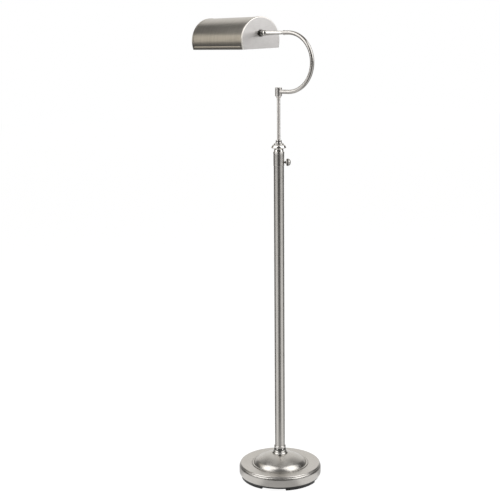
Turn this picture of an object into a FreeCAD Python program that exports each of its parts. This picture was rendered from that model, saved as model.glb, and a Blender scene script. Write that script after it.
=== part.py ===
"""Pharmacy floor lamp: weighted round base, telescoping column, swivelling C arm and half-drum shade.

The row frame has its origin on the floor at the column axis, +Z up, and the shade lies along -X.
All lengths are millimetres and all angles degrees.
"""
import FreeCAD, Part
import Sketcher
import math
import os

# Each driving dimension: alias, value, what it is.
DIMENSIONS = [
    ("foot_height", 6, "height of the four rubber feet"),
    ("foot_outer", 123.5, "outer radius of a foot"),
    ("foot_inner", 104, "inner radius of a foot"),
    ("foot_arc", 54, "angle that one foot covers"),
    ("foot_heading", -2.7, "direction of the first foot"),
    ("plate_radius", 124.9, "radius of the bottom plate"),
    ("plate_top", 12, "height of the bottom plate's upper face"),
    ("screw_circle", 80, "radius of the circle of plate screws"),
    ("base_radius", 130, "largest radius of the base cover"),
    ("base_wall", 1.6, "wall of the base cover"),
    ("rim_bottom", 12.5, "height of the cover's lower edge"),
    ("rim_top", 46.6, "height of the flat ring's outer edge"),
    ("ring_inner", 88.5, "radius where the flat ring meets the bead round the dome"),
    ("ring_level", 44.6, "height of the flat ring beside that bead"),
    ("dome_foot", 82.5, "radius of the dome at its foot"),
    ("dome_level", 46, "height of the dome's foot"),
    ("crown_bend", 128.2, "radius of the dome's crown in section"),
    ("shoulder_bend", 36, "radius of the dome's shoulder in section"),
    ("shoulder_slope", 62, "slope of the dome at its foot"),
    ("collar_radius", 24.5, "radius of the collar's flange on the dome"),
    ("collar_seat", 78, "height of the collar's flange face"),
    ("cord_level", 24, "height of the cord inlet"),
    ("cord_heading", 130.5, "direction of the cord inlet"),
    ("cord_radius", 3.4, "radius of the cord inlet's bore"),
    ("stud_radius", 6.5, "radius of the base stud"),
    ("tube_radius", 15.875, "outer radius of the column tubes"),
    ("tube_wall", 1.5, "wall of the column tubes"),
    ("column_foot", 104, "height where the column tube starts"),
    ("joint_one", 410, "height of the lower tube joint"),
    ("joint_two", 721, "height of the upper tube joint"),
    ("column_head", 1034, "height where the upper tube ends"),
    ("sleeve_bottom", 997, "height of the head sleeve's lower edge"),
    ("sleeve_radius", 16.65, "outer radius of the head sleeve"),
    ("skirt_level", 1047, "height where the flared skirt starts"),
    ("skirt_radius", 23, "radius of the skirt's rim"),
    ("gland_level", 1066, "height where the gland starts"),
    ("gland_top", 1076, "height of the gland's top"),
    ("stem_radius", 5, "outer radius of the sliding stem"),
    ("stem_wall", 1.5, "wall of the sliding stem"),
    ("stem_bottom", 868, "height of the stem's lower end"),
    ("lead_radius", 2.2, "radius of the inner lead"),
    ("running_gap", 0.05, "radial gap of every running fit"),
    ("lock_level", 1008, "height of the lock screw's axis"),
    ("lock_heading", 50, "direction in which the lock screw points"),
    ("swivel_bottom", 1205, "height of the swivel housing's lower face"),
    ("swivel_top", 1233, "height of the swivel housing's upper edge"),
    ("swivel_radius", 10.5, "radius of the swivel housing"),
    ("arm_heading", 14.7, "direction in which the arm bulges"),
    ("arm_radius", 6.35, "outer radius of the arm tube"),
    ("arm_wall", 1.2, "wall of the arm tube"),
    ("arm_level", 1220.6, "height of the arm's lower run"),
    ("arm_reach", 36.8, "distance from the column axis to the bend's centre"),
    ("arm_bend", 86.7, "radius of the arm's centre line"),
    ("arm_end", 23, "distance from the column axis to the arm's upper end"),
    ("ferrule_end", 15.5, "distance from the column axis to the ferrule's far face"),
    ("knuckle_reach", 51.4, "distance of the knuckle's pin behind the column axis"),
    ("ball_radius", 9, "radius of the knuckle ball"),
    ("split_gap", 0.25, "half the gap between the ball's halves"),
    ("knuckle_clearance", 0.35, "gap round the ball beside the stem and the hub"),
    ("hub_gap", 20, "distance from the knuckle's pin to the shade's near face"),
    ("hub_radius", 7.5, "radius of the hub on the knuckle's head"),
    ("shade_length", 270, "length of the shade over its end caps"),
    ("shade_radius", 72.2, "outer radius of the end caps"),
    ("shade_drop", 22.3, "distance of the shade's arc centre below the hub axis"),
    ("shade_chord", 24, "distance of the shade's open side below the arc centre"),
    ("shade_sheet", 0.9, "sheet of the shade"),
    ("shade_roll", 2.1, "how far the shade is turned about the hub axis"),
    ("cap_flange", 10, "depth of an end cap's flange"),
    ("cap_edge", 3, "outer radius of an end cap's rounded edge"),
    ("socket_radius", 17, "outer radius of the lamp socket"),
    ("bulb_radius", 30, "largest radius of the bulb"),
]

doc = FreeCAD.newDocument("pharmacy_lamp")
sheet = doc.addObject("Spreadsheet::Sheet", "dims")
for row, (alias, amount, meaning) in enumerate(DIMENSIONS, start=1):
    sheet.set("A%d" % row, str(amount))
    sheet.set("B%d" % row, meaning)
    sheet.setAlias("A%d" % row, alias)
doc.recompute()

pieces = []


class Size:
    """A number that remembers the sheet formula it came from."""

    def __init__(self, value, text):
        self.value = value
        self.text = text

    def joined(self, other, sign, value):
        return Size(value, "(%s %s %s)" % (self.text, sign, formula(other)))

    def __add__(self, other):
        return self.joined(other, "+", self.value + number(other))

    def __radd__(self, other):
        return self + other

    def __sub__(self, other):
        return self.joined(other, "-", self.value - number(other))

    def __rsub__(self, other):
        return -self + other

    def __mul__(self, other):
        return self.joined(other, "*", self.value * number(other))

    def __rmul__(self, other):
        return self * other

    def __truediv__(self, other):
        return self.joined(other, "/", self.value / number(other))

    def __neg__(self):
        return Size(-self.value, "(0 - %s)" % self.text)


def number(size):
    """The plain value of a size."""
    return size.value if isinstance(size, Size) else float(size)


def formula(size):
    """The sheet formula of a size."""
    return size.text if isinstance(size, Size) else "(%r)" % float(size)


def dim(alias):
    """One driving dimension of the sheet."""
    return Size(float(sheet.get(alias)), "dims." + alias)


def sine(angle):
    return Size(math.sin(math.radians(number(angle))), "sin(%s)" % formula(angle))


def cosine(angle):
    return Size(math.cos(math.radians(number(angle))), "cos(%s)" % formula(angle))


def root(size):
    return Size(math.sqrt(number(size)), "sqrt(%s)" % formula(size))


def bind(item, prop, size):
    """Give a property a size, bound to the sheet."""
    if isinstance(size, Size):
        item.setExpression(prop, size.text)
    setattr(item, prop, number(size))


# ---------------------------------------------------------------- sketches

def origin_plane(body, role):
    for feature in body.Origin.OriginFeatures:
        if feature.Role == role:
            return feature
    raise ValueError(role)


def new_sketch(body, role, offset=0):
    """A sketch on one of the body's own planes, moved along the plane's normal."""
    sketch = body.newObject("Sketcher::SketchObject", body.Name + "_sketch")
    sketch.AttachmentSupport = [(origin_plane(body, role), "")]
    sketch.MapMode = "FlatFace"
    if isinstance(offset, Size):
        sketch.setExpression("AttachmentOffset.Base.z", offset.text)
    sketch.AttachmentOffset = FreeCAD.Placement(FreeCAD.Vector(0, 0, number(offset)), FreeCAD.Rotation())
    return sketch


def constrain(sketch, kind, *where):
    """Add one dimension to a sketch, bound to the sheet."""
    size = where[-1]
    index = sketch.addConstraint(Sketcher.Constraint(kind, *where[:-1], number(size)))
    if isinstance(size, Size):
        sketch.setExpression("Constraints[%d]" % index, size.text)


def pin_point(sketch, side, end, across, up):
    """Fix one end of a sketch line by its two distances from the sketch's origin."""
    for kind, size, axis in (("DistanceX", across, -2), ("DistanceY", up, -1)):
        if number(size) == 0:
            sketch.addConstraint(Sketcher.Constraint("PointOnObject", side, end, axis))
        else:
            constrain(sketch, kind, -1, 1, side, end, size)


def side_between(start, finish, bend):
    """The line or arc between two corners. A positive bend turns left, a negative one right."""
    if bend == 0:
        return Part.LineSegment(start, finish)
    radius = abs(bend)
    chord = finish - start
    left = FreeCAD.Vector(-chord.y, chord.x, 0).normalize()
    height = math.sqrt(radius ** 2 - (chord.Length / 2) ** 2)
    centre = (start + finish) * 0.5 + left * math.copysign(height, bend)
    first, last = (start, finish) if bend > 0 else (finish, start)
    angles = [math.atan2(point.y - centre.y, point.x - centre.x) for point in (first, last)]
    return Part.ArcOfCircle(Part.Circle(centre, FreeCAD.Vector(0, 0, 1), radius), angles[0], angles[1])


def draw(sketch, corners, closed=True):
    """Draw corners joined by sides. A corner's third entry is the bend of the side after it."""
    places = [FreeCAD.Vector(number(corner[0]), number(corner[1]), 0) for corner in corners]
    bends = [corner[2] if len(corner) > 2 else 0 for corner in corners]
    sides = len(corners) if closed else len(corners) - 1
    first = sketch.GeometryCount
    for index in range(sides):
        following = (index + 1) % len(corners)
        sketch.addGeometry(side_between(places[index], places[following], number(bends[index])), False)
    ends = [(1, 2) if number(bend) >= 0 else (2, 1) for bend in bends]
    for index in range(sides):
        following = (index + 1) % len(corners)
        if following < sides:
            sketch.addConstraint(Sketcher.Constraint(
                "Coincident", first + index, ends[index][1], first + following, ends[following][0]))
        pin_point(sketch, first + index, ends[index][0], corners[index][0], corners[index][1])
        if number(bends[index]) != 0:
            radius = bends[index] if number(bends[index]) > 0 else -bends[index]
            constrain(sketch, "Radius", first + index, radius)
    if not closed:
        pin_point(sketch, first + sides - 1, ends[sides - 1][1], corners[-1][0], corners[-1][1])


def draw_circle(sketch, radius, across=0, up=0):
    place = FreeCAD.Vector(number(across), number(up), 0)
    index = sketch.addGeometry(Part.Circle(place, FreeCAD.Vector(0, 0, 1), number(radius)), False)
    constrain(sketch, "Radius", index, radius)
    if number(across) == 0 and number(up) == 0:
        sketch.addConstraint(Sketcher.Constraint("Coincident", index, 3, -1, 1))
    else:
        pin_point(sketch, index, 3, across, up)


# ---------------------------------------------------------------- solids

def new_body(name):
    return doc.addObject("PartDesign::Body", name)


def spun(name, corners, axis="V_Axis"):
    """A turned piece: corners are (radius, height), or (length, radius) when turned about H_Axis."""
    body = new_body(name)
    sketch = new_sketch(body, "XZ_Plane")
    draw(sketch, corners)
    turned = body.newObject("PartDesign::Revolution", name + "_turned")
    turned.Profile = sketch
    turned.ReferenceAxis = (sketch, [axis])
    turned.Angle = 360
    sketch.Visibility = False
    return body


def ring(name, outer, inner, bottom, top):
    """A plain ring or, with no inner radius, a plain disc."""
    return spun(name, [(inner, bottom), (outer, bottom), (outer, top), (inner, top)])


def padded(name, role, corners, start, length):
    """An outline padded along the plane's normal from start."""
    body = new_body(name)
    sketch = new_sketch(body, role, start)
    draw(sketch, corners)
    pad = body.newObject("PartDesign::Pad", name + "_pad")
    pad.Profile = sketch
    bind(pad, "Length", length)
    return body


def piped(name, corners, radii):
    """A round bar or tube whose centre line starts along X and lies in the XZ plane."""
    body = new_body(name)
    section = new_sketch(body, "YZ_Plane", corners[0][0])
    for radius in radii:
        draw_circle(section, radius, 0, corners[0][1])
    path = new_sketch(body, "XZ_Plane")
    draw(path, corners, closed=False)
    pipe = body.newObject("PartDesign::AdditivePipe", name + "_pipe")
    pipe.Profile = section
    pipe.Spine = (path, [])
    return body


def patterned(body, features, count):
    """Repeat features of a body round its Z axis as separate solids."""
    body.AllowCompound = True
    pattern = body.newObject("PartDesign::PolarPattern", body.Name + "_pattern")
    pattern.Originals = features
    pattern.Axis = (origin_plane(body, "Z_Axis"), [""])
    pattern.Angle = 360
    pattern.Occurrences = count
    body.Tip = pattern
    return body


def moved(item, x=0, y=0, z=0, rotation=None):
    """Place a primitive, with its position bound to the sheet."""
    item.Placement = FreeCAD.Placement(
        FreeCAD.Vector(number(x), number(y), number(z)), rotation or FreeCAD.Rotation())
    for letter, size in (("x", x), ("y", y), ("z", z)):
        if isinstance(size, Size):
            item.setExpression(".Placement.Base." + letter, size.text)
    return item


ALONG_X = FreeCAD.Rotation(FreeCAD.Vector(0, 1, 0), 90)


def cylinder(name, radius, height, **place):
    item = doc.addObject("Part::Cylinder", name)
    bind(item, "Radius", radius)
    bind(item, "Height", height)
    return moved(item, **place)


def block(name, length, width, height, **place):
    item = doc.addObject("Part::Box", name)
    bind(item, "Length", length)
    bind(item, "Width", width)
    bind(item, "Height", height)
    return moved(item, **place)


def ball(name, radius, **place):
    item = doc.addObject("Part::Sphere", name)
    bind(item, "Radius", radius)
    return moved(item, **place)


def prism(name, corner_radius, height, **place):
    item = doc.addObject("Part::Prism", name)
    item.Polygon = 6
    bind(item, "Circumradius", corner_radius)
    bind(item, "Height", height)
    return moved(item, **place)


def fuse(name, *shapes):
    item = doc.addObject("Part::MultiFuse", name)
    item.Shapes = list(shapes)
    item.Refine = True
    return item


def cut(name, base, *tools):
    item = doc.addObject("Part::Cut", name)
    item.Base = base
    item.Tool = tools[0] if len(tools) == 1 else fuse(name + "_tools", *tools)
    return item


def common(name, base, tool):
    item = doc.addObject("Part::Common", name)
    item.Base = base
    item.Tool = tool
    return item


def hex_nut(name, corner_radius, hole, bottom, height):
    """A hexagon nut along Z."""
    blank = prism(name + "_blank", corner_radius, height, z=bottom)
    return cut(name + "_nut", blank, cylinder(name + "_thread", hole, height, z=bottom))


def piece(label, item, seat=FreeCAD.Placement()):
    """Name a finished piece and set it at its seat."""
    item.Label = label
    item.Placement = seat
    pieces.append(item)
    return item


# ---------------------------------------------------------------- seats

def radial_seat(heading, level):
    """Local Z points outwards from the column axis."""
    outwards = FreeCAD.Rotation(FreeCAD.Vector(0, 0, 1), number(heading))
    lying = FreeCAD.Rotation(FreeCAD.Vector(0, 1, 0), 90)
    return FreeCAD.Placement(FreeCAD.Vector(0, 0, number(level)), outwards * lying)


Z_AXIS = FreeCAD.Vector(0, 0, 1)
TOP_LEVEL = dim("arm_level") + dim("arm_bend") * 2
ARM_TURN = FreeCAD.Rotation(Z_AXIS, number(dim("arm_heading")))
ARM_SEAT = FreeCAD.Placement(FreeCAD.Vector(), ARM_TURN)
RAIL_SEAT = FreeCAD.Placement(FreeCAD.Vector(0, 0, number(TOP_LEVEL)), ARM_TURN)
KNUCKLE_POINT = ARM_TURN.multVec(FreeCAD.Vector(-number(dim("knuckle_reach")), 0, 0)) \
    + FreeCAD.Vector(0, 0, number(TOP_LEVEL))
KNUCKLE_SEAT = FreeCAD.Placement(KNUCKLE_POINT, ARM_TURN)
HUB_SEAT = FreeCAD.Placement(KNUCKLE_POINT, FreeCAD.Rotation())
SHADE_SEAT = FreeCAD.Placement(
    KNUCKLE_POINT, FreeCAD.Rotation(FreeCAD.Vector(1, 0, 0), number(dim("shade_roll"))))
LOCK_SEAT = radial_seat(dim("lock_heading"), dim("lock_level"))
CORD_SEAT = radial_seat(dim("cord_heading"), dim("cord_level"))


# ---------------------------------------------------------------- base

def rubber_feet():
    """Four arcs of rubber under the bottom plate."""
    half = dim("foot_arc") / 2
    outer, inner = dim("foot_outer"), dim("foot_inner")
    corners = [(outer * cosine(half), -(outer * sine(half)), outer), (outer * cosine(half), outer * sine(half)),
               (inner * cosine(half), inner * sine(half), -inner), (inner * cosine(half), -(inner * sine(half)))]
    body = padded("feet", "XY_Plane", corners, 0, dim("foot_height"))
    patterned(body, [body.Group[-1]], 4)
    turn = FreeCAD.Rotation(Z_AXIS, number(dim("foot_heading")))
    piece("rubber_feet", body, FreeCAD.Placement(FreeCAD.Vector(), turn))


def screw_holes(name, radius, bottom, top):
    """Four tools for the plate screws' holes."""
    place = dim("screw_circle") * math.sqrt(0.5)
    return [cylinder("%s_%d%d" % (name, x > 0, y > 0), radius, top - bottom, x=place * x, y=place * y, z=bottom)
            for x in (-1, 1) for y in (-1, 1)]


def bottom_plate():
    """Black plate that closes the base, with its four countersunk screws."""
    bottom, top = dim("foot_height"), dim("plate_top")
    disc = spun("plate_disc", [(0, bottom), (dim("plate_radius") - 1, bottom), (dim("plate_radius"), bottom + 1),
                               (dim("plate_radius"), top), (0, top)])
    recess = screw_holes("recess", 4.1, bottom - 1, bottom + 3.4)
    clearance = screw_holes("clearance", 2.25, bottom + 3.4, top + 1)
    piece("base_plate", cut("plate", disc, *recess, *clearance))

    place = dim("screw_circle") * math.sqrt(0.5)
    body = new_body("screws")
    features = []
    for name, radius, start, length in (("head", 3.9, bottom + 1, 2.4), ("shank", 2.0, bottom + 3.4, 14.6)):
        sketch = new_sketch(body, "XY_Plane", start)
        draw_circle(sketch, radius, place, place)
        pad = body.newObject("PartDesign::Pad", "screw_" + name)
        pad.Profile = sketch
        pad.Length = length
        features.append(pad)
    piece("plate_screws", patterned(body, features, 4))


def base_weight():
    """Cast ring that keeps the lamp upright, with a channel for the cord and a boss under the dome."""
    seat = dim("collar_seat") - dim("base_wall")
    bottom, top = dim("plate_top"), dim("ring_level") - dim("base_wall") - 0.8
    outer, bore, pocket = dim("base_radius") - 12, dim("stud_radius") + 0.1, bottom + 18
    ring_shape = spun("weight_ring", [
        (bore, pocket), (24, pocket), (24, bottom), (outer - 2, bottom), (outer, bottom + 2), (outer, top - 2),
        (outer - 2, top), (36, top, -12), (25, top + 11), (22, seat), (bore, seat)])
    channel = block("weight_channel", outer + 5, 12, 17, y=-6, z=bottom)
    channel.Placement = FreeCAD.Placement(FreeCAD.Vector(), FreeCAD.Rotation(Z_AXIS, number(dim("cord_heading")))) \
        .multiply(channel.Placement)
    threads = screw_holes("thread", 2.0, bottom, bottom + 14)
    piece("base_weight", cut("weight", ring_shape, channel, *threads))


def dome_point(bend_change, angle, shoulder=False):
    """A point of the dome's section. The crown's centre is on the axis and the shoulder runs on from it."""
    crown_bend, shoulder_bend = dim("crown_bend"), dim("shoulder_bend")
    crown_z = dim("collar_seat") - root(crown_bend * crown_bend - dim("collar_radius") * dim("collar_radius"))
    if not shoulder:
        bend = crown_bend + bend_change
        return bend * sine(angle), crown_z + bend * cosine(angle)
    bend = shoulder_bend + bend_change
    slope = dim("shoulder_slope")
    centre_r = dim("dome_foot") - shoulder_bend * sine(slope)
    centre_z = dim("dome_level") - shoulder_bend * cosine(slope)
    return centre_r + bend * sine(angle), centre_z + bend * cosine(angle)


def base_cover():
    """Spun cover: rounded rim with a fine groove, flat ring, bead and dome."""
    wall, radius = dim("base_wall"), dim("base_radius")
    low, top, seat = dim("rim_bottom"), dim("rim_top"), dim("collar_seat")
    crown_bend, shoulder_bend, slope = dim("crown_bend"), dim("shoulder_bend"), dim("shoulder_slope")
    ring_in, level, hole = dim("ring_inner"), dim("ring_level"), dim("stud_radius") + 0.3
    join = math.degrees(math.asin((number(dim("dome_foot")) - number(shoulder_bend * sine(slope)))
                                  / (number(crown_bend) - number(shoulder_bend))))
    outside = [
        (hole, seat), (dim("collar_radius"), seat, -crown_bend),
        (*dome_point(0, join), -shoulder_bend), dome_point(0, slope, True),
        (dim("dome_foot") + 0.6, level + 0.9), (dim("dome_foot") + 1.6, level + 0.9, -2.4),
        (ring_in - 1.2, level), (ring_in, level), (radius - 6, top, -5),
        (radius - 2.6, top - 4.2), (radius - 3.1, top - 5.2), (radius - 2.2, top - 6, -11),
        (radius, top - 14), (radius, low + 6, -10), (radius - 2, low), (radius - 3.4, low)]
    inner_crown = dome_point(-wall, join)
    inner_foot = dome_point(-wall, slope, True)
    inside = [
        (radius - wall, low + 6), (radius - wall, top - 14, 9.4), (radius - 6.8, top - wall - 1.2),
        (ring_in, level - wall), (*inner_foot, shoulder_bend - wall), (*inner_crown, crown_bend - wall),
        (dim("collar_radius") - 1, seat - wall), (hole, seat - wall)]
    shell = spun("cover_shell", outside + inside)
    hole_tool = cylinder("cover_inlet", 5, 14)
    hole_tool.Placement = CORD_SEAT.multiply(
        FreeCAD.Placement(FreeCAD.Vector(0, 0, number(radius) - 9), FreeCAD.Rotation()))
    piece("base_cover", cut("cover", shell, hole_tool))


def cord_bushing():
    """Rubber bushing in the cover's rim, for the cord."""
    wall_out = dim("base_radius") + 0.1
    wall_in = dim("base_radius") - dim("base_wall") - 0.3
    bore = dim("cord_radius")
    body = spun("bushing", [
        (bore, wall_in - 2), (6.5, wall_in - 2), (6.5, wall_in), (5, wall_in), (5, wall_out), (7, wall_out),
        (7, wall_out + 1, 1), (6, wall_out + 2), (bore, wall_out + 2)])
    piece("cord_bushing", body, CORD_SEAT)


def base_fastening():
    """Turned collar on the dome, and the stud, washers and nut that hold column and base together."""
    seat, top, stud = dim("collar_seat"), dim("column_foot"), dim("stud_radius")
    flange, tube = dim("collar_radius"), dim("tube_radius")
    collar = spun("collar_turned", [
        (stud + 0.3, seat), (flange, seat), (flange, seat + 2.6), (flange - 1.2, seat + 3.8),
        (flange - 2.2, seat + 4.4), (flange - 2.2, seat + 6.6, 2), (flange - 4.2, seat + 8.6),
        (flange - 4.8, seat + 9.6), (flange - 4.1, seat + 11, 14), (tube + 2, seat + 18),
        (tube + 2, seat + 19), (tube + 2.8, seat + 19.6), (tube + 2.8, top - 2.4, 1.8), (tube + 1, top - 0.6),
        (tube + 0.6, top), (stud + 0.3, top)])
    piece("base_collar", collar)

    pocket = dim("plate_top") + 18
    piece("base_stud", ring("stud_tube", stud, 4, pocket - 13, top + 24))
    piece("base_washer", ring("washer", 20, stud + 0.1, pocket - 1.6, pocket))
    piece("base_lock_washer", ring("lock_washer", 11, stud + 0.1, pocket - 3, pocket - 1.6))
    piece("base_nut", hex_nut("foot", 13, stud, pocket - 11, 8))


# ---------------------------------------------------------------- column

def column_tubes():
    """Three tubes of one section, the threaded inserts in their ends and the studs between them."""
    outer = dim("tube_radius")
    bore = outer - dim("tube_wall")
    foot, low, high, head = dim("column_foot"), dim("joint_one"), dim("joint_two"), dim("column_head")
    edge = 0.4
    for name, bottom, top in (("lower", foot, low), ("middle", low, high)):
        piece(name + "_tube", spun(name + "_pipe", [
            (bore, bottom), (outer - edge, bottom), (outer, bottom + edge), (outer, top - edge),
            (outer - edge, top), (bore, top)]))
    upper = ring("upper_pipe", outer, bore, high, head)
    piece("upper_tube", cut("upper_tube_drilled", upper, lock_hole("upper_drill", 3.3)))
    piece("foot_insert", ring("foot_plug", bore, dim("stud_radius"), foot, foot + 30))
    for name, level in (("lower", low), ("upper", high)):
        piece(name + "_joint_socket", ring(name + "_socket", bore, 5, level - 22, level - 1))
        piece(name + "_joint_plug", ring(name + "_plug", bore, 5, level + 1, level + 20))
        piece(name + "_joint_stud", ring(name + "_stud", 5, 3.5, level - 18, level + 16))


def lock_hole(name, radius):
    """Tool for the lock screw's hole, from the stem outwards."""
    tool = cylinder(name, radius, 20)
    tool.Placement = LOCK_SEAT
    return tool


def column_head():
    """Sleeve, clamp block, neck, flared skirt, gland and guide bush at the column's top."""
    outer = dim("tube_radius")
    bore = outer - dim("tube_wall")
    sleeve, head = dim("sleeve_radius"), dim("column_head")
    slide = dim("stem_radius") + dim("running_gap")
    cover = spun("sleeve_turned", [
        (outer, dim("sleeve_bottom")), (sleeve - 0.3, dim("sleeve_bottom")), (sleeve, dim("sleeve_bottom") + 0.6),
        (sleeve, head), (outer, head)])
    piece("head_sleeve", cut("sleeve", cover, lock_hole("sleeve_drill", 3.3)))

    block_low, block_high = dim("lock_level") - 14, dim("lock_level") + 16
    clamp = ring("clamp_turned", bore, slide, block_low, block_high)
    piece("clamp_block", cut("clamp", clamp, lock_hole("clamp_thread", 3)))

    free = dim("stem_radius") + 0.6
    skirt = dim("skirt_level")
    piece("column_neck", spun("neck_turned", [
        (free, block_high + 1), (bore, block_high + 1), (bore, head), (sleeve + 0.1, head),
        (sleeve + 0.6, head + 1.2), (sleeve + 0.6, head + 5, 1.8), (sleeve - 1, head + 6.8),
        (14.4, head + 7.4), (14.2, skirt), (free, skirt)]))

    rim, gland = dim("skirt_radius"), dim("gland_level")
    piece("column_skirt", spun("skirt_turned", [
        (free, skirt), (14.2, skirt, -8), (19.6, skirt + 5.2), (rim - 1.4, skirt + 4.2),
        (rim, skirt + 5, 0.9), (rim - 0.5, skirt + 6.6, 14), (19.8, skirt + 12.9, -8), (15.8, gland - 3),
        (15, gland - 2.8), (15, gland - 1.8, 1.6), (14, gland), (free, gland)]))

    bush = 7.2
    piece("stem_gland", spun("gland_turned", [
        (bush, gland), (10.2, gland), (10.2, gland + 2.4), (9.4, gland + 3.4), (8.9, dim("gland_top") - 1.4, 1.4),
        (7.6, dim("gland_top")), (slide + 0.4, dim("gland_top")), (slide + 0.4, gland + 8), (bush, gland + 8)]))
    piece("guide_bush", ring("bush", bush, slide, gland, gland + 8))


def column_lead():
    """Insulated lead from the base stud to the stem, with the slack of the height range."""
    piece("column_lead", ring("lead_column", dim("lead_radius"), 0, 20, dim("stem_bottom") - 1))


def lock_screw():
    """Thumb screw with a domed head, and the brass pad that it presses on the stem."""
    near = dim("stem_radius") + dim("running_gap")
    piece("lock_pad", ring("pad", 2.9, 0, near, near + 4), LOCK_SEAT)
    start = near + 4.02
    head = dim("sleeve_radius") + 5.4
    thread = 3 - dim("running_gap")
    body = spun("screw_turned", [
        (0, start), (thread, start), (thread, head - 3), (4.6, head - 2.6), (4.6, head), (8.6, head + 0.4, 3),
        (11.2, head + 3), (11.2, head + 7.6), (10.4, head + 8.4), (10.4, head + 9.4, 10), (5.4, head + 13.6, 14),
        (0.8, head + 14.4), (0, head + 14.4)])
    piece("lock_screw", body, LOCK_SEAT)


# ---------------------------------------------------------------- stem and swivel

def stem():
    """Sliding tube with its formed bead, the guide at its lower end and its lead."""
    outer = dim("stem_radius")
    bore = outer - dim("stem_wall")
    bottom, housing = dim("stem_bottom"), dim("swivel_bottom")
    piece("stem_tube", spun("stem_turned", [
        (bore, bottom), (outer, bottom), (outer, housing - 3), (outer + 1.6, housing - 2.4, 1.3),
        (outer + 1.6, housing - 0.4), (outer, housing - 0.05), (outer, housing + 21), (bore, housing + 21)]))
    guide = dim("tube_radius") - dim("tube_wall") - 0.08
    piece("stem_guide", spun("guide_turned", [
        (outer, bottom), (guide - 1, bottom), (guide, bottom + 1), (guide, bottom + 11), (guide - 1, bottom + 12),
        (outer, bottom + 12)]))
    piece("stem_lead", ring("lead_stem", dim("lead_radius"), 0, bottom, housing + 20))


def swivel():
    """Housing that turns on the stem, its stop, nut and cap."""
    low, top, radius = dim("swivel_bottom"), dim("swivel_top"), dim("swivel_radius")
    outer = dim("stem_radius")
    slide = outer + dim("running_gap")
    cavity, floor = 8.3, low + 5
    turned = spun("housing_turned", [
        (slide, low), (6.6, low), (9.4, low + 1.6, 3.2), (radius, low + 4.6), (radius, top - 0.3),
        (radius - 0.3, top), (9.2, top), (9.2, top - 2), (cavity, top - 2), (cavity, floor), (slide, floor)])
    arm_hole = cylinder("arm_hole", dim("arm_radius"), 10, x=cavity - 0.8, z=dim("arm_level"), rotation=ALONG_X)
    pin_hole = cylinder("stop_hole", 1, 5, x=7.2, z=floor - 4)
    piece("swivel_housing", cut("housing", turned, arm_hole, pin_hole), ARM_SEAT)
    piece("swivel_cap", spun("cap_turned", [
        (0, top - 2), (9.2, top - 2), (9.2, top), (8.8, top + 0.4), (0, top + 0.4)]), ARM_SEAT)
    piece("swivel_stop_pin", cylinder("stop_pin", 1, 5.4), ARM_SEAT.multiply(
        FreeCAD.Placement(FreeCAD.Vector(7.2, 0, number(floor) - 4), FreeCAD.Rotation())))

    washer = ring("stop_ring", 6, outer, floor + 0.05, floor + 1.5)
    tab = block("stop_tab", 2.6, 2, 1.45, x=-8.1, y=-1, z=floor + 0.05)
    piece("stop_washer", fuse("stop", washer, tab), ARM_SEAT)
    piece("swivel_nut", hex_nut("swivel", 8, outer, floor + 1.55, 5))


# ---------------------------------------------------------------- arm and knuckle

def arm():
    """Bent arm tube, its lead and the ferrule in its upper end."""
    outer = dim("arm_radius")
    bore = outer - dim("arm_wall")
    level, reach, bend = dim("arm_level"), dim("arm_reach"), dim("arm_bend")
    for label, start, end, radii in (("arm_tube", 8.4, dim("arm_end"), (outer, bore)),
                                     ("arm_lead", 6.4, -37, (dim("lead_radius"),))):
        line = [(start, level), (reach, level, bend), (reach + bend, level + bend, bend),
                (reach, TOP_LEVEL), (end, TOP_LEVEL)]
        piece(label, piped(label + "_bent", line, radii), ARM_SEAT)
    end, face = dim("arm_end"), dim("ferrule_end")
    piece("arm_ferrule", spun("ferrule_turned", [
        (face - 7, 3), (face - 7, 4), (face, 4), (face, 5.1), (face + 3.8, 5.1), (face + 4, 6.6, 1.6),
        (end - 1, 6.9), (end, 6.7), (end, bore), (end + 8, bore), (end + 8, 3)], "H_Axis"), RAIL_SEAT)


def knuckle_stem():
    """Tapered stem on the arm's end, with the lower half of the knuckle ball."""
    pin, radius = dim("knuckle_reach"), dim("ball_radius")
    face, gap, split = dim("ferrule_end"), dim("knuckle_clearance"), dim("split_gap")
    stem_end = pin - radius - gap
    taper = spun("stem_taper", [
        (stem_end * -1, 2.6), (stem_end * -1, 6.4, -0.9), (stem_end * -1 + 0.9, 7.25), (face - 1, 5.5),
        (face, 4.9), (face, 4), (face - 7.2, 4), (face - 7.2, 2.6)], "H_Axis")
    bridge = cylinder("stem_bridge", 6.2, radius + 2, x=-pin, rotation=ALONG_X)
    sphere = ball("lower_ball", radius, x=-pin)
    below = block("below_split", 30, 30, 20, x=-pin - 15, y=-15, z=-(split + 20))
    lower = common("lower_half", fuse("lower_blank", sphere, bridge), below)
    bore = cylinder("stem_bore", 2.6, radius, x=-pin + 3.4, rotation=ALONG_X)
    hole = cylinder("lower_pin_hole", 2, 20, x=-pin, z=-15)
    nut_pocket = prism("nut_pocket", 3.7, 6, x=-pin, z=-11.6)
    solid = cut("stem_drilled", fuse("stem_blank", taper, lower), bore, hole, nut_pocket)
    piece("knuckle_stem", solid, RAIL_SEAT)


def knuckle_pin():
    """Screw, nut and friction washer of the knuckle."""
    piece("knuckle_screw", spun("pin_turned", [
        (0, -6.4), (2, -6.4), (2, 5.6), (3.2, 5.6), (3.2, 7.8, 4.6), (0.6, 9), (0, 9)]), KNUCKLE_SEAT)
    piece("knuckle_nut", hex_nut("knuckle", 3.7, 2, -8, 2.4), KNUCKLE_SEAT)
    piece("knuckle_washer", ring("friction_ring", 8.2, 2.05, -0.2, 0.2), KNUCKLE_SEAT)


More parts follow.
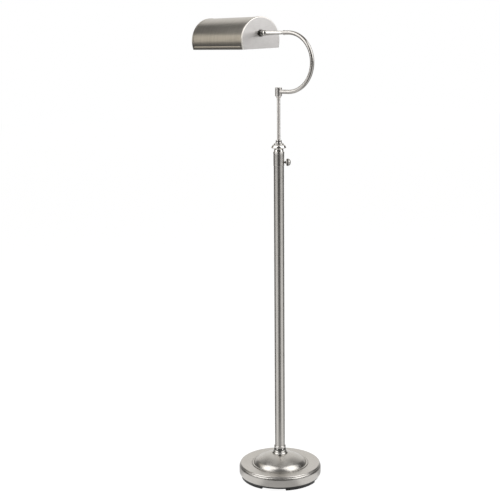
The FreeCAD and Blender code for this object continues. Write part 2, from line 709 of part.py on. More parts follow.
def knuckle_head():
    """Upper half of the ball with the hub that carries the shade, its dark washer and its set screw."""
    radius, split, gap = dim("ball_radius"), dim("split_gap"), dim("hub_gap")
    clear, hub = dim("knuckle_clearance"), dim("hub_radius")
    washer = 3.5
    hub_face = gap - washer
    hub_root = radius + clear
    slide = dim("stem_radius") + dim("running_gap")
    sphere = ball("upper_ball", radius)
    bridge = cylinder("hub_bridge", 6.2, radius + 2, x=-(radius + 2), rotation=ALONG_X)
    above = block("above_split", 30, 30, 20, x=-15, y=-15, z=split)
    upper = common("upper_half", fuse("upper_blank", sphere, bridge), above)
    body = spun("hub_turned", [
        (-hub_face, 0), (-hub_face, hub), (-(hub_root + 1), hub, 1), (-hub_root, hub - 1), (-hub_root, 0)], "H_Axis")
    lead_bore = cylinder("head_bore", 2.6, radius + 4, x=-(radius + 4), rotation=ALONG_X)
    nipple_bore = cylinder("nipple_bore", slide, hub_face - 10.4, x=-hub_face, rotation=ALONG_X)
    pin_hole = cylinder("upper_pin_hole", 2.05, 20)
    head_pocket = cylinder("screw_pocket", 3.3, 8, z=5.55)
    set_hole = cylinder("set_hole", 1.5, 10, x=-13.5)
    solid = cut("head_drilled", fuse("head_blank", upper, body), lead_bore, nipple_bore, pin_hole, head_pocket,
                set_hole)
    piece("knuckle_head", solid, HUB_SEAT)
    piece("hub_washer", spun("washer_turned", [
        (-gap + 0.05, slide), (-gap + 0.05, 10.5), (-(hub_face + 1), 10.5, -1), (-hub_face, 9.5),
        (-hub_face, slide)], "H_Axis"), HUB_SEAT)
    piece("hub_set_screw", spun("grub_turned", [
        (0, 4.5), (1, 4.5), (1, 5.2), (1.5, 5.2), (1.5, 7.6), (0, 7.6)]), HUB_SEAT.multiply(
            FreeCAD.Placement(FreeCAD.Vector(-13.5, 0, 0), FreeCAD.Rotation())))


# ---------------------------------------------------------------- shade

def half_drum(name, radius, below, start, length):
    """A drum of the shade's arc with its underside flat, padded along X from start."""
    depth = dim("shade_chord") + below
    centre = -dim("shade_drop")
    half_width = root(radius * radius - depth * depth)
    corners = [(-half_width, centre - depth), (half_width, centre - depth, radius), (0, centre + radius, radius)]
    return padded(name, "YZ_Plane", corners, start, length)


def end_cap(label, face, inwards):
    """Stamped end cap: flat face, rounded edge and a flange over the barrel. inwards is +1 or -1 along X."""
    radius, wall, flange = dim("shade_radius"), 1.0, dim("cap_flange")
    start = face if inwards > 0 else face - flange
    blank = half_drum(label + "_blank", radius, 0, start, flange)
    doc.recompute()
    edge = doc.addObject("Part::Fillet", label + "_edge")
    edge.Base = blank
    chosen = [index for index, line in enumerate(blank.Shape.Edges, start=1)
              if abs(line.BoundBox.XMax - line.BoundBox.XMin) < 0.01
              and abs(line.CenterOfMass.x - number(face)) < 0.01 and line.Curve.TypeId == "Part::GeomCircle"]
    edge.Edges = [(index, number(dim("cap_edge")), number(dim("cap_edge"))) for index in chosen]
    inner = face + wall * inwards if inwards > 0 else face - wall - flange
    hollow = half_drum(label + "_hollow", radius - wall, 4, inner, flange)
    doc.recompute()
    inner_edge = doc.addObject("Part::Fillet", label + "_hollow_edge")
    inner_edge.Base = hollow
    inner_face = number(face) + wall * inwards
    chosen = [index for index, line in enumerate(hollow.Shape.Edges, start=1)
              if abs(line.CenterOfMass.x - inner_face) < 0.01 and line.Curve.TypeId == "Part::GeomCircle"]
    inner_edge.Edges = [(index, number(dim("cap_edge")) - wall, number(dim("cap_edge")) - wall) for index in chosen]
    return cut(label + "_pressed", edge, inner_edge)


def end_caps():
    """The two end caps. The near one has the nipple's hole."""
    near, far = -dim("hub_gap"), -(dim("hub_gap") + dim("shade_length"))
    pressed = end_cap("near", near, -1)
    hole = cylinder("near_hole", dim("stem_radius"), 8, x=near - 4, rotation=ALONG_X)
    piece("near_cap", cut("near_drilled", pressed, hole), SHADE_SEAT)
    piece("far_cap", end_cap("far", far, 1), SHADE_SEAT)


def barrel_outline():
    """Section of the rolled sheet: the outer arc, then the inner arc back."""
    outer = dim("shade_radius") - 1
    inner = outer - dim("shade_sheet")
    depth, centre = dim("shade_chord"), -dim("shade_drop")
    outer_x = root(outer * outer - depth * depth)
    inner_x = root(inner * inner - depth * depth)
    low = centre - depth
    return [(outer_x, low, outer), (0, centre + outer, outer), (-outer_x, low), (-inner_x, low, -inner),
            (0, centre + inner, -inner), (inner_x, low)]


def shade_barrel():
    """Rolled sheet of the shade with a rib near each lower edge and a hem on it."""
    inset, flange = dim("cap_edge"), dim("cap_flange")
    start = -(dim("hub_gap") + dim("shade_length") - inset)
    length = dim("shade_length") - inset * 2
    outer = dim("shade_radius") - 1
    body = padded("barrel", "YZ_Plane", barrel_outline(), start, length)
    rib_angle, hem_angle = 9.4, 18.3
    for name, angle, middle, radius, begin, span in (
            ("rib", rib_angle, outer - 0.6, 1.6, start - inset + flange, dim("shade_length") - flange * 2),
            ("hem", hem_angle, outer - 1.6, 1.6, start, length)):
        for side in (-1, 1):
            sketch = new_sketch(body, "YZ_Plane", begin)
            draw_circle(sketch, radius, middle * math.cos(math.radians(angle)) * side,
                        -dim("shade_drop") - middle * math.sin(math.radians(angle)))
            pad = body.newObject("PartDesign::Pad", "%s_pad" % name)
            pad.Profile = sketch
            bind(pad, "Length", span)
    piece("shade_barrel", body, SHADE_SEAT)


def shade_fastening():
    """Hollow nipple that holds the shade in the knuckle's hub, with its washer and nut."""
    near, outer = dim("hub_gap"), dim("stem_radius")
    piece("shade_nipple", spun("nipple_turned", [
        (-(near + 13), 3.2), (-(near + 13), outer), (-14.8, outer), (-14.8, 4.3), (-12.2, 4.3), (-12.2, outer),
        (-10.6, outer), (-10.6, 3.2)], "H_Axis"), SHADE_SEAT)
    inside = near + 1
    piece("nipple_washer", spun("nipple_ring", [
        (-(inside + 1.2), outer), (-(inside + 1.2), 11), (-inside, 11), (-inside, outer)], "H_Axis"), SHADE_SEAT)
    nut = hex_nut("nipple", 9.2, outer, 0, 4)
    nut_turn = SHADE_SEAT.multiply(FreeCAD.Placement(
        FreeCAD.Vector(-number(inside) - 5.2, 0, 0), ALONG_X))
    piece("nipple_nut", nut, nut_turn)


def lamp_socket():
    """Screw socket: metal cap and shell round an insulating body, and the turn knob of its switch."""
    start, radius, outer = dim("hub_gap") + 6.2, dim("socket_radius"), dim("stem_radius")
    cap = spun("socket_cup", [
        (-(start + 20), radius - 1), (-(start + 20), radius), (-(start + 5), radius - 0.4, 5),
        (-(start + 0.4), 11), (-start, 10), (-start, outer), (-(start + 1), outer), (-(start + 1), 10, -4),
        (-(start + 5.2), radius - 1.4), (-(start + 16), radius - 1)], "H_Axis")
    shaft_x = start + 14
    shaft_hole = cylinder("shaft_hole", 2.6, 10, x=-shaft_x, z=-22)
    piece("socket_cap", cut("socket_cup_drilled", cap, shaft_hole), SHADE_SEAT)
    piece("socket_shell", spun("socket_sleeve", [
        (-(start + 55), radius - 1.8), (-(start + 55), radius - 0.6, -0.8), (-(start + 54), radius - 1),
        (-(start + 17), radius - 1), (-(start + 17), radius - 1.8)], "H_Axis"), SHADE_SEAT)
    insulator = spun("socket_core", [
        (-(start + 26), 0), (-(start + 26), 13.6), (-(start + 52), 13.6), (-(start + 52), radius - 1.8),
        (-(start + 8), radius - 1.8), (-(start + 8), 0)], "H_Axis")
    shaft_bore = cylinder("shaft_bore", 2.45, 12, x=-shaft_x, z=-22)
    piece("socket_body", cut("socket_core_drilled", insulator, shaft_bore), SHADE_SEAT)
    piece("switch_knob", spun("knob_turned", [
        (0, -34), (5.4, -34, 1.4), (6.4, -33), (5.8, -24), (5, -23), (2.4, -23), (2.4, -10.2), (0, -10.2)]),
        SHADE_SEAT.multiply(FreeCAD.Placement(FreeCAD.Vector(-number(shaft_x), 0, 0), FreeCAD.Rotation())))


def bulb():
    """Screw-capped bulb with a pear-shaped envelope."""
    start, wide = dim("hub_gap") + 33, dim("bulb_radius")
    neck = start + 26
    piece("bulb_cap", spun("bulb_base", [
        (-neck, 0), (-neck, 13.1), (-(start + 4), 13.1), (-(start + 1), 8), (-start, 4.5), (-start, 0)],
        "H_Axis"), SHADE_SEAT)
    glass = 1
    widest, tip = neck + 48, neck + 78
    piece("bulb_glass", spun("bulb_envelope", [
        (-neck, 12.4), (-(neck + 0.4), 13.4, 60), (-(neck + 22), 20.5, -52), (-widest, wide, -wide), (-tip, 0),
        (-(tip - glass), 0, wide - glass), (-widest, wide - glass, 51), (-(neck + 22), 20.5 - glass, -61),
        (-neck - 1, 12.4)], "H_Axis"), SHADE_SEAT)


# ---------------------------------------------------------------- build, check and write

def check_document():
    """Stop if any object failed or any piece isn't a valid shape."""
    doc.recompute()
    for item in doc.Objects:
        if "Invalid" in item.State or "Error" in item.State:
            raise RuntimeError("%s failed: %s" % (item.Name, item.State))
    for item in pieces:
        shape = item.Shape
        if shape.isNull() or not shape.isValid() or not shape.Solids:
            raise RuntimeError("%s has no valid solid" % item.Label)


def write_pieces():
    os.makedirs("parts", exist_ok=True)
    for item in pieces:
        item.Shape.exportStep("parts/%s.step" % item.Label)
        box = item.Shape.BoundBox
        print("%-20s solids %d volume %10.1f z %7.1f to %7.1f" % (
            item.Label, len(item.Shape.Solids), item.Shape.Volume, box.ZMin, box.ZMax))
    print(len(pieces), "pieces")


rubber_feet()
bottom_plate()
base_weight()
base_cover()
cord_bushing()
base_fastening()
column_tubes()
column_head()
column_lead()
lock_screw()
stem()
swivel()
arm()
knuckle_stem()
knuckle_pin()
knuckle_head()
end_caps()
shade_barrel()
shade_fastening()
lamp_socket()
bulb()
check_document()
write_pieces()
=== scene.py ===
"""Looks of a pharmacy floor lamp in satin nickel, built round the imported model.

Lengths in the profiles are millimetres. Everything that Blender gets is in metres, in the model's own frame:
origin on the floor at the column's axis, +Z up, the shade towards -X.
"""
import math
import bpy
from mathutils import Matrix, Vector


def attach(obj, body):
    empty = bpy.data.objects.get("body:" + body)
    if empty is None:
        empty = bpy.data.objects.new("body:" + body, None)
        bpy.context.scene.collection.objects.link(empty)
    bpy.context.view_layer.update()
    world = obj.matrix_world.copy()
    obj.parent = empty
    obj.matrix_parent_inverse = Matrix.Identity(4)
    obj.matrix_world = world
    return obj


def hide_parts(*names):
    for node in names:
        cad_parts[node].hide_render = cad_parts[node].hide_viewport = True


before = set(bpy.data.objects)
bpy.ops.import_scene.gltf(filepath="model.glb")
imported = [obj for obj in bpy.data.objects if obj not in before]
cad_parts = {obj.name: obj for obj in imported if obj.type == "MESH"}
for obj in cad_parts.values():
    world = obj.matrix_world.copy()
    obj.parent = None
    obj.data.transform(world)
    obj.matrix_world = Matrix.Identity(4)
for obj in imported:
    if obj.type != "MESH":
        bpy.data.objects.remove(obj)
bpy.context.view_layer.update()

MM = 0.001
HAIR = 0.1 * MM
UP = Vector((0, 0, 1))

# Places that several pieces share, in millimetres and degrees.
COLUMN_RADIUS = 15.875
COLUMN_WALL = 1.5
COLUMN_TOP = 1034
SLEEVE_RADIUS = 16.65
STEM_RADIUS = 5
SWIVEL_LEVEL = 1205
ARM_HEADING = 14.7
ARM_LEVEL = 1220.6
ARM_REACH = 36.8
ARM_BEND = 86.7
ARM_START = 8.4
TOP_LEVEL = ARM_LEVEL + 2 * ARM_BEND
KNUCKLE_REACH = 51.4
BALL_RADIUS = 9
BALL_GAP = 0.25
SHADE_ROLL = 2.1
SHADE_RADIUS = 72.2
SHADE_NEAR = 20
SHADE_LENGTH = 270
SHADE_DROP = 22.3
SHADE_CHORD = 24
SHADE_LOW = -(SHADE_DROP + SHADE_CHORD) * MM
LOCK_HEADING = 50
LOCK_LEVEL = 1008
CORD_HEADING = 130.5
CORD_LEVEL = 24
FOOT_HEADING = -2.7
CAMERA_HEADING = 52
BEHIND = 180


def turn(degrees, axis):
    return Matrix.Rotation(math.radians(degrees), 4, axis)


ARM_SEAT = turn(ARM_HEADING, "Z")
RAIL_SEAT = Matrix.Translation((0, 0, TOP_LEVEL * MM)) @ ARM_SEAT
KNUCKLE_POINT = RAIL_SEAT @ Vector((-KNUCKLE_REACH * MM, 0, 0))
HUB_SEAT = Matrix.Translation(KNUCKLE_POINT)
SHADE_SEAT = HUB_SEAT @ turn(SHADE_ROLL, "X")
LOCK_SEAT = Matrix.Translation((0, 0, LOCK_LEVEL * MM)) @ turn(LOCK_HEADING, "Z") @ turn(90, "Y")
CORD_SEAT = Matrix.Translation((0, 0, CORD_LEVEL * MM)) @ turn(CORD_HEADING, "Z") @ turn(90, "Y")
# A piece turned about its own Z that lies along -X, so that its height is the distance behind the hub.
ALONG_MINUS_X = turn(-90, "Y")


# ------------------------------------------------------------ shader trees

class Tree:
    """Short words for a node tree."""

    def __init__(self, tree):
        self.tree = tree

    def add(self, kind, **settings):
        node = self.tree.nodes.new("ShaderNode" + kind)
        for name, value in settings.items():
            setattr(node, name, value)
        return node

    def add_end(self, kind):
        """The node that a group's inputs or outputs come through."""
        return self.tree.nodes.new(kind)

    def feed(self, target, source):
        """Set a socket, or link it when the source is a socket."""
        if isinstance(source, bpy.types.NodeSocket):
            self.tree.links.new(source, target)
        else:
            target.default_value = source

    def sum(self, operation, *values):
        node = self.add("Math", operation=operation)
        for socket, value in zip(node.inputs, values):
            self.feed(socket, value)
        return node.outputs[0]

    def spread(self, value, low, high, to_low=0.0, to_high=1.0):
        node = self.add("MapRange", interpolation_type="SMOOTHSTEP")
        for name, amount in (("Value", value), ("From Min", low), ("From Max", high),
                             ("To Min", to_low), ("To Max", to_high)):
            self.feed(node.inputs[name], amount)
        return node.outputs["Result"]

    def blend(self, factor, first, second):
        node = self.add("Mix", data_type="RGBA")
        self.feed(node.inputs["Factor"], factor)
        self.feed(node.inputs[6], first)
        self.feed(node.inputs[7], second)
        return node.outputs[2]

    def noise(self, vector, scale, detail=3.0, roughness=0.55):
        node = self.add("TexNoise")
        self.feed(node.inputs["Vector"], vector)
        self.feed(node.inputs["Scale"], scale)
        self.feed(node.inputs["Detail"], detail)
        self.feed(node.inputs["Roughness"], roughness)
        return node.outputs["Fac"]


# ------------------------------------------------------------ camera, light and floor

def set_camera():
    """The camera that the lamp is first seen through."""
    bpy.ops.object.camera_add()
    camera = bpy.context.object
    camera.name = "studio_camera"
    distance, height = 3.265, 1.3591
    heading, pitch, roll, yaw = (math.radians(angle) for angle in (CAMERA_HEADING, 10.78, -0.53, 1.58))
    forward = Vector((-math.sin(yaw) * math.cos(pitch), math.cos(yaw) * math.cos(pitch), -math.sin(pitch)))
    right = forward.cross(UP).normalized()
    above = right.cross(forward)
    side = right * math.cos(roll) + above * math.sin(roll)
    top = above * math.cos(roll) - right * math.sin(roll)
    aim = Matrix((side, top, -forward)).transposed().to_4x4()
    camera.matrix_world = Matrix.Rotation(heading, 4, "Z") @ Matrix.Translation((0, -distance, height)) @ aim
    camera.data.sensor_width = 36
    camera.data.lens = 77.54
    camera.data.clip_end = 100
    bpy.context.scene.camera = camera


def softbox(name, heading, distance, height, size, power, aim_height, colour=(1, 1, 1)):
    """A rectangular light at a heading from the camera's own, facing a point on the column's axis."""
    angle = math.radians(CAMERA_HEADING + heading)
    place = Vector((math.sin(angle) * distance, -math.cos(angle) * distance, height))
    bpy.ops.object.light_add(type="AREA", location=place)
    light = bpy.context.object
    light.name = name
    light.data.shape = "RECTANGLE"
    light.data.size, light.data.size_y = size
    light.data.energy = power
    light.data.color = colour
    light.rotation_euler = (Vector((0, 0, aim_height)) - place).to_track_quat("-Z", "Y").to_euler()
    light.visible_camera = False


def facing(tree, way, heading, rise):
    """How nearly a direction points at a heading from the camera's own and a rise above level, as a cosine."""
    angle, lift = math.radians(CAMERA_HEADING + heading), math.radians(rise)
    dot = tree.add("VectorMath", operation="DOT_PRODUCT")
    tree.feed(dot.inputs[0], way)
    dot.inputs[1].default_value = (math.sin(angle) * math.cos(lift), -math.cos(angle) * math.cos(lift),
                                   math.sin(lift))
    return dot.outputs["Value"]


def level_part(tree, way):
    """A direction with its rise taken out."""
    flat = tree.add("VectorMath", operation="MULTIPLY")
    tree.feed(flat.inputs[0], way)
    flat.inputs[1].default_value = (1, 1, 0)
    unit = tree.add("VectorMath", operation="NORMALIZE")
    tree.feed(unit.inputs[0], flat.outputs[0])
    return unit.outputs[0]


def set_room():
    """A dim room with a lit wall behind the lamp and a faint ceiling. The camera itself sees plain white."""
    world = bpy.data.worlds.new("studio_room")
    bpy.context.scene.world = world
    world.use_nodes = True
    world.node_tree.nodes.clear()
    tree = Tree(world.node_tree)
    way = tree.add("TexCoord").outputs["Generated"]
    dim, wall_glow, ceiling_glow = 0.09, 0.88, 0.22
    rise = facing(tree, way, 0, 90)
    wall = tree.spread(facing(tree, level_part(tree, way), BEHIND, 0), 0.72, 0.95, 0.0, wall_glow)
    wall = tree.sum("MULTIPLY", wall, tree.spread(rise, 0.995, 0.90))
    ceiling = tree.spread(rise, 0.90, 0.99, 0.0, ceiling_glow)
    level = tree.sum("ADD", tree.sum("ADD", dim, wall), ceiling)
    room = tree.add("Background")
    room.inputs["Color"].default_value = (1.0, 0.985, 0.96, 1)
    tree.feed(room.inputs["Strength"], level)
    backdrop = tree.add("Background")
    backdrop.inputs["Color"].default_value = (1, 1, 1, 1)
    mix = tree.add("MixShader")
    tree.feed(mix.inputs["Fac"], tree.add("LightPath").outputs["Is Camera Ray"])
    tree.feed(mix.inputs[1], room.outputs["Background"])
    tree.feed(mix.inputs[2], backdrop.outputs["Background"])
    tree.feed(tree.add("OutputWorld").inputs["Surface"], mix.outputs["Shader"])


def set_floor():
    """White paper floor that looks as bright as the backdrop, lit in front of the softboxes and the back wall."""
    width, clearance = 30, 0.0004
    near_glow, far_glow, seen_glow = 0.50, 0.06, 0.95
    bpy.ops.mesh.primitive_plane_add(size=width, location=(0, 0, -clearance))
    floor = bpy.context.object
    floor.name = "studio_floor"
    paper = bpy.data.materials.new("floor_paper")
    paper.use_nodes = True
    tree = Tree(paper.node_tree)
    shader = paper.node_tree.nodes["Principled BSDF"]
    shader.inputs["Base Color"].default_value = (0.12, 0.12, 0.12, 1)
    shader.inputs["Roughness"].default_value = 0.9
    shader.inputs["Specular IOR Level"].default_value = 0.1
    shader.inputs["Emission Color"].default_value = (1, 1, 1, 1)
    place = tree.add("TexCoord").outputs["Object"]
    reach = tree.add("VectorMath", operation="LENGTH")
    tree.feed(reach.inputs[0], place)
    lit = tree.spread(reach.outputs["Value"], 0.75, 0.15, 0.0, near_glow)
    heading = level_part(tree, place)
    for angle, edge, glow in ((-60, 0.74, 0.92), (60, 0.74, 0.92), (BEHIND, 0.60, 0.85)):
        patch = tree.spread(facing(tree, heading, angle, 0), edge, 0.97, far_glow, glow)
        lit = tree.sum("MAXIMUM", lit, patch)
    seen = tree.sum("MULTIPLY", tree.add("LightPath").outputs["Is Camera Ray"], seen_glow)
    tree.feed(shader.inputs["Emission Strength"], tree.sum("MAXIMUM", seen, lit))
    floor.data.materials.append(paper)


def set_studio():
    """Softboxes that look down on the lamp from its left and right, a warm one for the shade, room and floor."""
    for side, heading in (("left", -68), ("right", 68)):
        softbox(side + "_softbox", heading, distance=2.15, height=2.15, size=(2.4, 2.9), power=50, aim_height=-1.43)
    softbox("shade_softbox", -109, distance=2.3, height=1.66, size=(0.9, 0.8), power=1.9, aim_height=1.4,
            colour=(1.0, 0.94, 0.82))
    set_room()
    set_floor()
    bpy.context.scene.view_settings.view_transform = "Standard"


# ------------------------------------------------------------ shader groups

def new_group(name, inputs, outputs):
    """An empty shader group with named sockets. Returns its tree and its two end nodes."""
    group = bpy.data.node_groups.new(name, "ShaderNodeTree")
    for label, kind, value in inputs:
        socket = group.interface.new_socket(label, in_out="INPUT", socket_type="NodeSocket" + kind)
        if value is not None:
            socket.default_value = value
    for label, kind in outputs:
        group.interface.new_socket(label, in_out="OUTPUT", socket_type="NodeSocket" + kind)
    tree = Tree(group)
    return tree, tree.add_end("NodeGroupInput"), tree.add_end("NodeGroupOutput")


def make_lathe_grain():
    """Fine rings round the Z axis, as a turned or spun piece has after satin polishing."""
    tree, start, end = new_group(
        "lathe_grain", [("Vector", "Vector", None), ("Fineness", "Float", 1400.0), ("Run", "Float", 3.0)],
        [("Grain", "Float"), ("Bands", "Float")])
    split = tree.add("SeparateXYZ")
    tree.feed(split.inputs[0], start.outputs["Vector"])
    x, y, z = split.outputs
    reach = tree.sum("SQRT", tree.sum("ADD", tree.sum("MULTIPLY", x, x), tree.sum("MULTIPLY", y, y)))
    angle = tree.sum("MULTIPLY", tree.sum("ARCTAN2", y, x), start.outputs["Run"])
    place = tree.add("CombineXYZ")
    tree.feed(place.inputs[0], tree.sum("MULTIPLY", reach, start.outputs["Fineness"]))
    tree.feed(place.inputs[1], angle)
    tree.feed(place.inputs[2], tree.sum("MULTIPLY", z, start.outputs["Fineness"]))
    tree.feed(end.inputs["Grain"], tree.noise(place.outputs[0], 1.0, 4.0, 0.7))
    broad = tree.add("CombineXYZ")
    tree.feed(broad.inputs[0], tree.sum("MULTIPLY", reach, 160.0))
    tree.feed(broad.inputs[1], tree.sum("MULTIPLY", angle, 0.4))
    tree.feed(broad.inputs[2], tree.sum("MULTIPLY", z, 160.0))
    tree.feed(end.inputs["Bands"], tree.noise(broad.outputs[0], 1.0, 2.0, 0.5))
    return tree.tree


def make_straight_grain():
    """Fine lines across the Z axis of the mapped coordinates, as brushing leaves on rolled sheet."""
    tree, start, end = new_group(
        "straight_grain", [("Vector", "Vector", None), ("Fineness", "Float", 1500.0), ("Run", "Float", 14.0)],
        [("Grain", "Float"), ("Bands", "Float")])
    for label, across, along in (("Grain", 1.0, 1.0), ("Bands", 0.12, 0.35)):
        stretch = tree.add("CombineXYZ")
        tree.feed(stretch.inputs[0], tree.sum("MULTIPLY", start.outputs["Run"], along))
        tree.feed(stretch.inputs[1], tree.sum("MULTIPLY", start.outputs["Run"], along))
        tree.feed(stretch.inputs[2], tree.sum("MULTIPLY", start.outputs["Fineness"], across))
        scaled = tree.add("VectorMath", operation="MULTIPLY")
        tree.feed(scaled.inputs[0], start.outputs["Vector"])
        tree.feed(scaled.inputs[1], stretch.outputs[0])
        tree.feed(end.inputs[label], tree.noise(scaled.outputs[0], 1.0, 4.0, 0.65))
    return tree.tree


def make_edge_wear():
    """Where an edge is rubbed bright: the surface's bevelled normal leaves the plain one there."""
    tree, start, end = new_group(
        "edge_wear", [("Vector", "Vector", None), ("Width", "Float", 0.0008), ("Breakup", "Float", 0.5)],
        [("Wear", "Float")])
    rounded_normal = tree.add("Bevel", samples=6)
    tree.feed(rounded_normal.inputs["Radius"], start.outputs["Width"])
    plain = tree.add("NewGeometry")
    dot = tree.add("VectorMath", operation="DOT_PRODUCT")
    tree.feed(dot.inputs[0], rounded_normal.outputs["Normal"])
    tree.feed(dot.inputs[1], plain.outputs["Normal"])
    away = tree.spread(dot.outputs["Value"], 0.995, 0.90)
    speckle = tree.spread(tree.noise(start.outputs["Vector"], 420.0, 3.0, 0.6), 0.35, 0.65)
    kept = tree.sum("SUBTRACT", 1.0, tree.sum("MULTIPLY", start.outputs["Breakup"], speckle))
    tree.feed(end.inputs["Wear"], tree.sum("MULTIPLY", away, kept))
    return tree.tree


def make_painted_shade_and_tarnish():
    """Painted shade in recesses, found by ambient occlusion, and darker tarnish in soft clouds on open faces."""
    tree, start, end = new_group(
        "painted_shade_and_tarnish", [("Vector", "Vector", None), ("Reach", "Float", 0.006), ("Clouds", "Float", 22.0)],
        [("Recess", "Float"), ("Cloud", "Float")])
    hollow = tree.add("AmbientOcclusion", samples=6)
    tree.feed(hollow.inputs["Distance"], start.outputs["Reach"])
    tree.feed(end.inputs["Recess"], tree.spread(hollow.outputs["AO"], 0.92, 0.35))
    cloud = tree.noise(start.outputs["Vector"], start.outputs["Clouds"], 5.0, 0.6)
    tree.feed(end.inputs["Cloud"], tree.spread(cloud, 0.35, 0.7))
    return tree.tree


def make_handling():
    """Smudges that change how glossy a surface is."""
    tree, start, end = new_group(
        "handling", [("Vector", "Vector", None), ("Size", "Float", 60.0)], [("Smudge", "Float")])
    smudge = tree.noise(start.outputs["Vector"], start.outputs["Size"], 4.0)
    tree.feed(end.inputs["Smudge"], tree.spread(smudge, 0.4, 0.68))
    return tree.tree


GROUPS = {
    "lathe": make_lathe_grain(),
    "straight": make_straight_grain(),
    "wear": make_edge_wear(),
    "painted_shade_and_tarnish": make_painted_shade_and_tarnish(),
    "handling": make_handling(),
}


# ------------------------------------------------------------ materials

def use_group(tree, key, vector, **values):
    """Place a shared group with its own values. Returns its outputs."""
    node = tree.add("Group")
    node.node_tree = GROUPS[key]
    tree.feed(node.inputs["Vector"], vector)
    for name, value in values.items():
        node.inputs[name].default_value = value
    return node.outputs


def new_material(name, seat=None):
    """A material with Object coordinates, turned and centred by a seat. Returns it, its tree, shader and vector."""
    material = bpy.data.materials.new(name)
    material.use_nodes = True
    tree = Tree(material.node_tree)
    shader = material.node_tree.nodes["Principled BSDF"]
    vector = tree.add("TexCoord").outputs["Object"]
    if seat is not None:
        back = seat.inverted()
        mapping = tree.add("Mapping")
        tree.feed(mapping.inputs["Vector"], vector)
        mapping.inputs["Location"].default_value = back.to_translation()
        mapping.inputs["Rotation"].default_value = back.to_euler()
        vector = mapping.outputs[0]
    return material, tree, shader, vector


def make_nickel(name, light, dark, roughness, grain="lathe", seat=None, fineness=1400.0, run=3.0, depth=0.05,
                painted_shade_and_tarnish=0.45, wear=0.6, swing=0.09, cloud=0.22, streaks=0.22):
    """Nickel plate: grained, a little tarnished, with painted shade in its recesses and brighter on its edges."""
    material, tree, shader, vector = new_material(name, seat)
    lines = use_group(tree, grain, vector, Fineness=fineness, Run=run)
    rubbed = use_group(tree, "wear", vector)
    painted_shade_and_clouds = use_group(tree, "painted_shade_and_tarnish", vector)
    hands = use_group(tree, "handling", vector)
    shade = tree.sum("ADD", tree.sum("MULTIPLY", painted_shade_and_clouds["Cloud"], cloud), tree.sum("MULTIPLY", lines["Bands"], 0.25))
    shade = tree.sum("ADD", shade, tree.sum("MULTIPLY", tree.spread(lines["Grain"], 0.38, 0.62), streaks))
    colour = tree.blend(shade, (*light, 1), (*dark, 1))
    # Painted shade: the colour goes towards this deep tone where ambient occlusion finds a recess.
    painted_recess_shade = tuple(channel * 0.30 for channel in dark)
    colour = tree.blend(tree.sum("MULTIPLY", painted_shade_and_clouds["Recess"], painted_shade_and_tarnish), colour, (*painted_recess_shade, 1))
    bright = tuple(min(1.0, channel * 1.22) for channel in light)
    colour = tree.blend(tree.sum("MULTIPLY", rubbed["Wear"], wear), colour, (*bright, 1))
    tree.feed(shader.inputs["Base Color"], colour)
    gloss = tree.sum("ADD", roughness - swing * 0.5, tree.sum("MULTIPLY", lines["Grain"], swing))
    gloss = tree.sum("ADD", gloss, tree.sum("MULTIPLY", hands["Smudge"], swing * 0.5))
    gloss = tree.sum("ADD", gloss, tree.sum("MULTIPLY", painted_shade_and_clouds["Recess"], 0.15))
    tree.feed(shader.inputs["Roughness"], gloss)
    shader.inputs["Metallic"].default_value = 1.0
    bump = tree.add("Bump")
    bump.inputs["Strength"].default_value = depth
    bump.inputs["Distance"].default_value = 0.0001
    tree.feed(bump.inputs["Height"], lines["Grain"])
    tree.feed(shader.inputs["Normal"], bump.outputs[0])
    return material


def make_plain(name, light, dark, roughness, metallic=0.0, grain=900.0, depth=0.15, coat=0.0, clouds=30.0):
    """A moulded, cast or painted finish: mottled colour, a fine skin and painted shade in its recesses."""
    material, tree, shader, vector = new_material(name)
    painted_shade_and_clouds = use_group(tree, "painted_shade_and_tarnish", vector, Clouds=clouds)
    hands = use_group(tree, "handling", vector)
    rubbed = use_group(tree, "wear", vector, Width=0.0006)
    skin = tree.noise(vector, grain, 3.0, 0.6)
    colour = tree.blend(painted_shade_and_clouds["Cloud"], (*light, 1), (*dark, 1))
    # Painted shade: darker where ambient occlusion finds a recess.
    colour = tree.blend(tree.sum("MULTIPLY", painted_shade_and_clouds["Recess"], 0.4), colour, (*(c * 0.5 for c in dark), 1))
    colour = tree.blend(tree.sum("MULTIPLY", rubbed["Wear"], 0.35), colour, (*(min(1, c * 1.35) for c in light), 1))
    tree.feed(shader.inputs["Base Color"], colour)
    gloss = tree.sum("ADD", roughness, tree.sum("MULTIPLY", hands["Smudge"], 0.08))
    tree.feed(shader.inputs["Roughness"], tree.sum("ADD", gloss, tree.sum("MULTIPLY", skin, 0.06)))
    shader.inputs["Metallic"].default_value = metallic
    shader.inputs["Coat Weight"].default_value = coat
    shader.inputs["Coat Roughness"].default_value = 0.15
    bump = tree.add("Bump")
    bump.inputs["Strength"].default_value = depth
    bump.inputs["Distance"].default_value = 0.0003
    tree.feed(bump.inputs["Height"], skin)
    tree.feed(shader.inputs["Normal"], bump.outputs[0])
    return material


def make_frosted_glass():
    """White-frosted bulb glass with the fine mist of its inner coat."""
    material, tree, shader, vector = new_material("frosted_bulb_glass")
    hands = use_group(tree, "handling", vector, Size=35.0)
    mist = tree.noise(vector, 300.0, 4.0, 0.6)
    tree.feed(shader.inputs["Base Color"], tree.blend(mist, (0.93, 0.93, 0.91, 1), (0.86, 0.86, 0.84, 1)))
    tree.feed(shader.inputs["Roughness"], tree.sum("ADD", 0.32, tree.sum("MULTIPLY", hands["Smudge"], 0.12)))
    shader.inputs["Transmission Weight"].default_value = 0.35
    shader.inputs["Subsurface Weight"].default_value = 0.2
    shader.inputs["Subsurface Scale"].default_value = 0.004
    shader.inputs["Coat Weight"].default_value = 0.6
    shader.inputs["Coat Roughness"].default_value = 0.08
    return material


NICKEL, NICKEL_DARK = (0.57, 0.55, 0.52), (0.47, 0.45, 0.42)
ACROSS_SHADE = SHADE_SEAT @ turn(90, "Y")

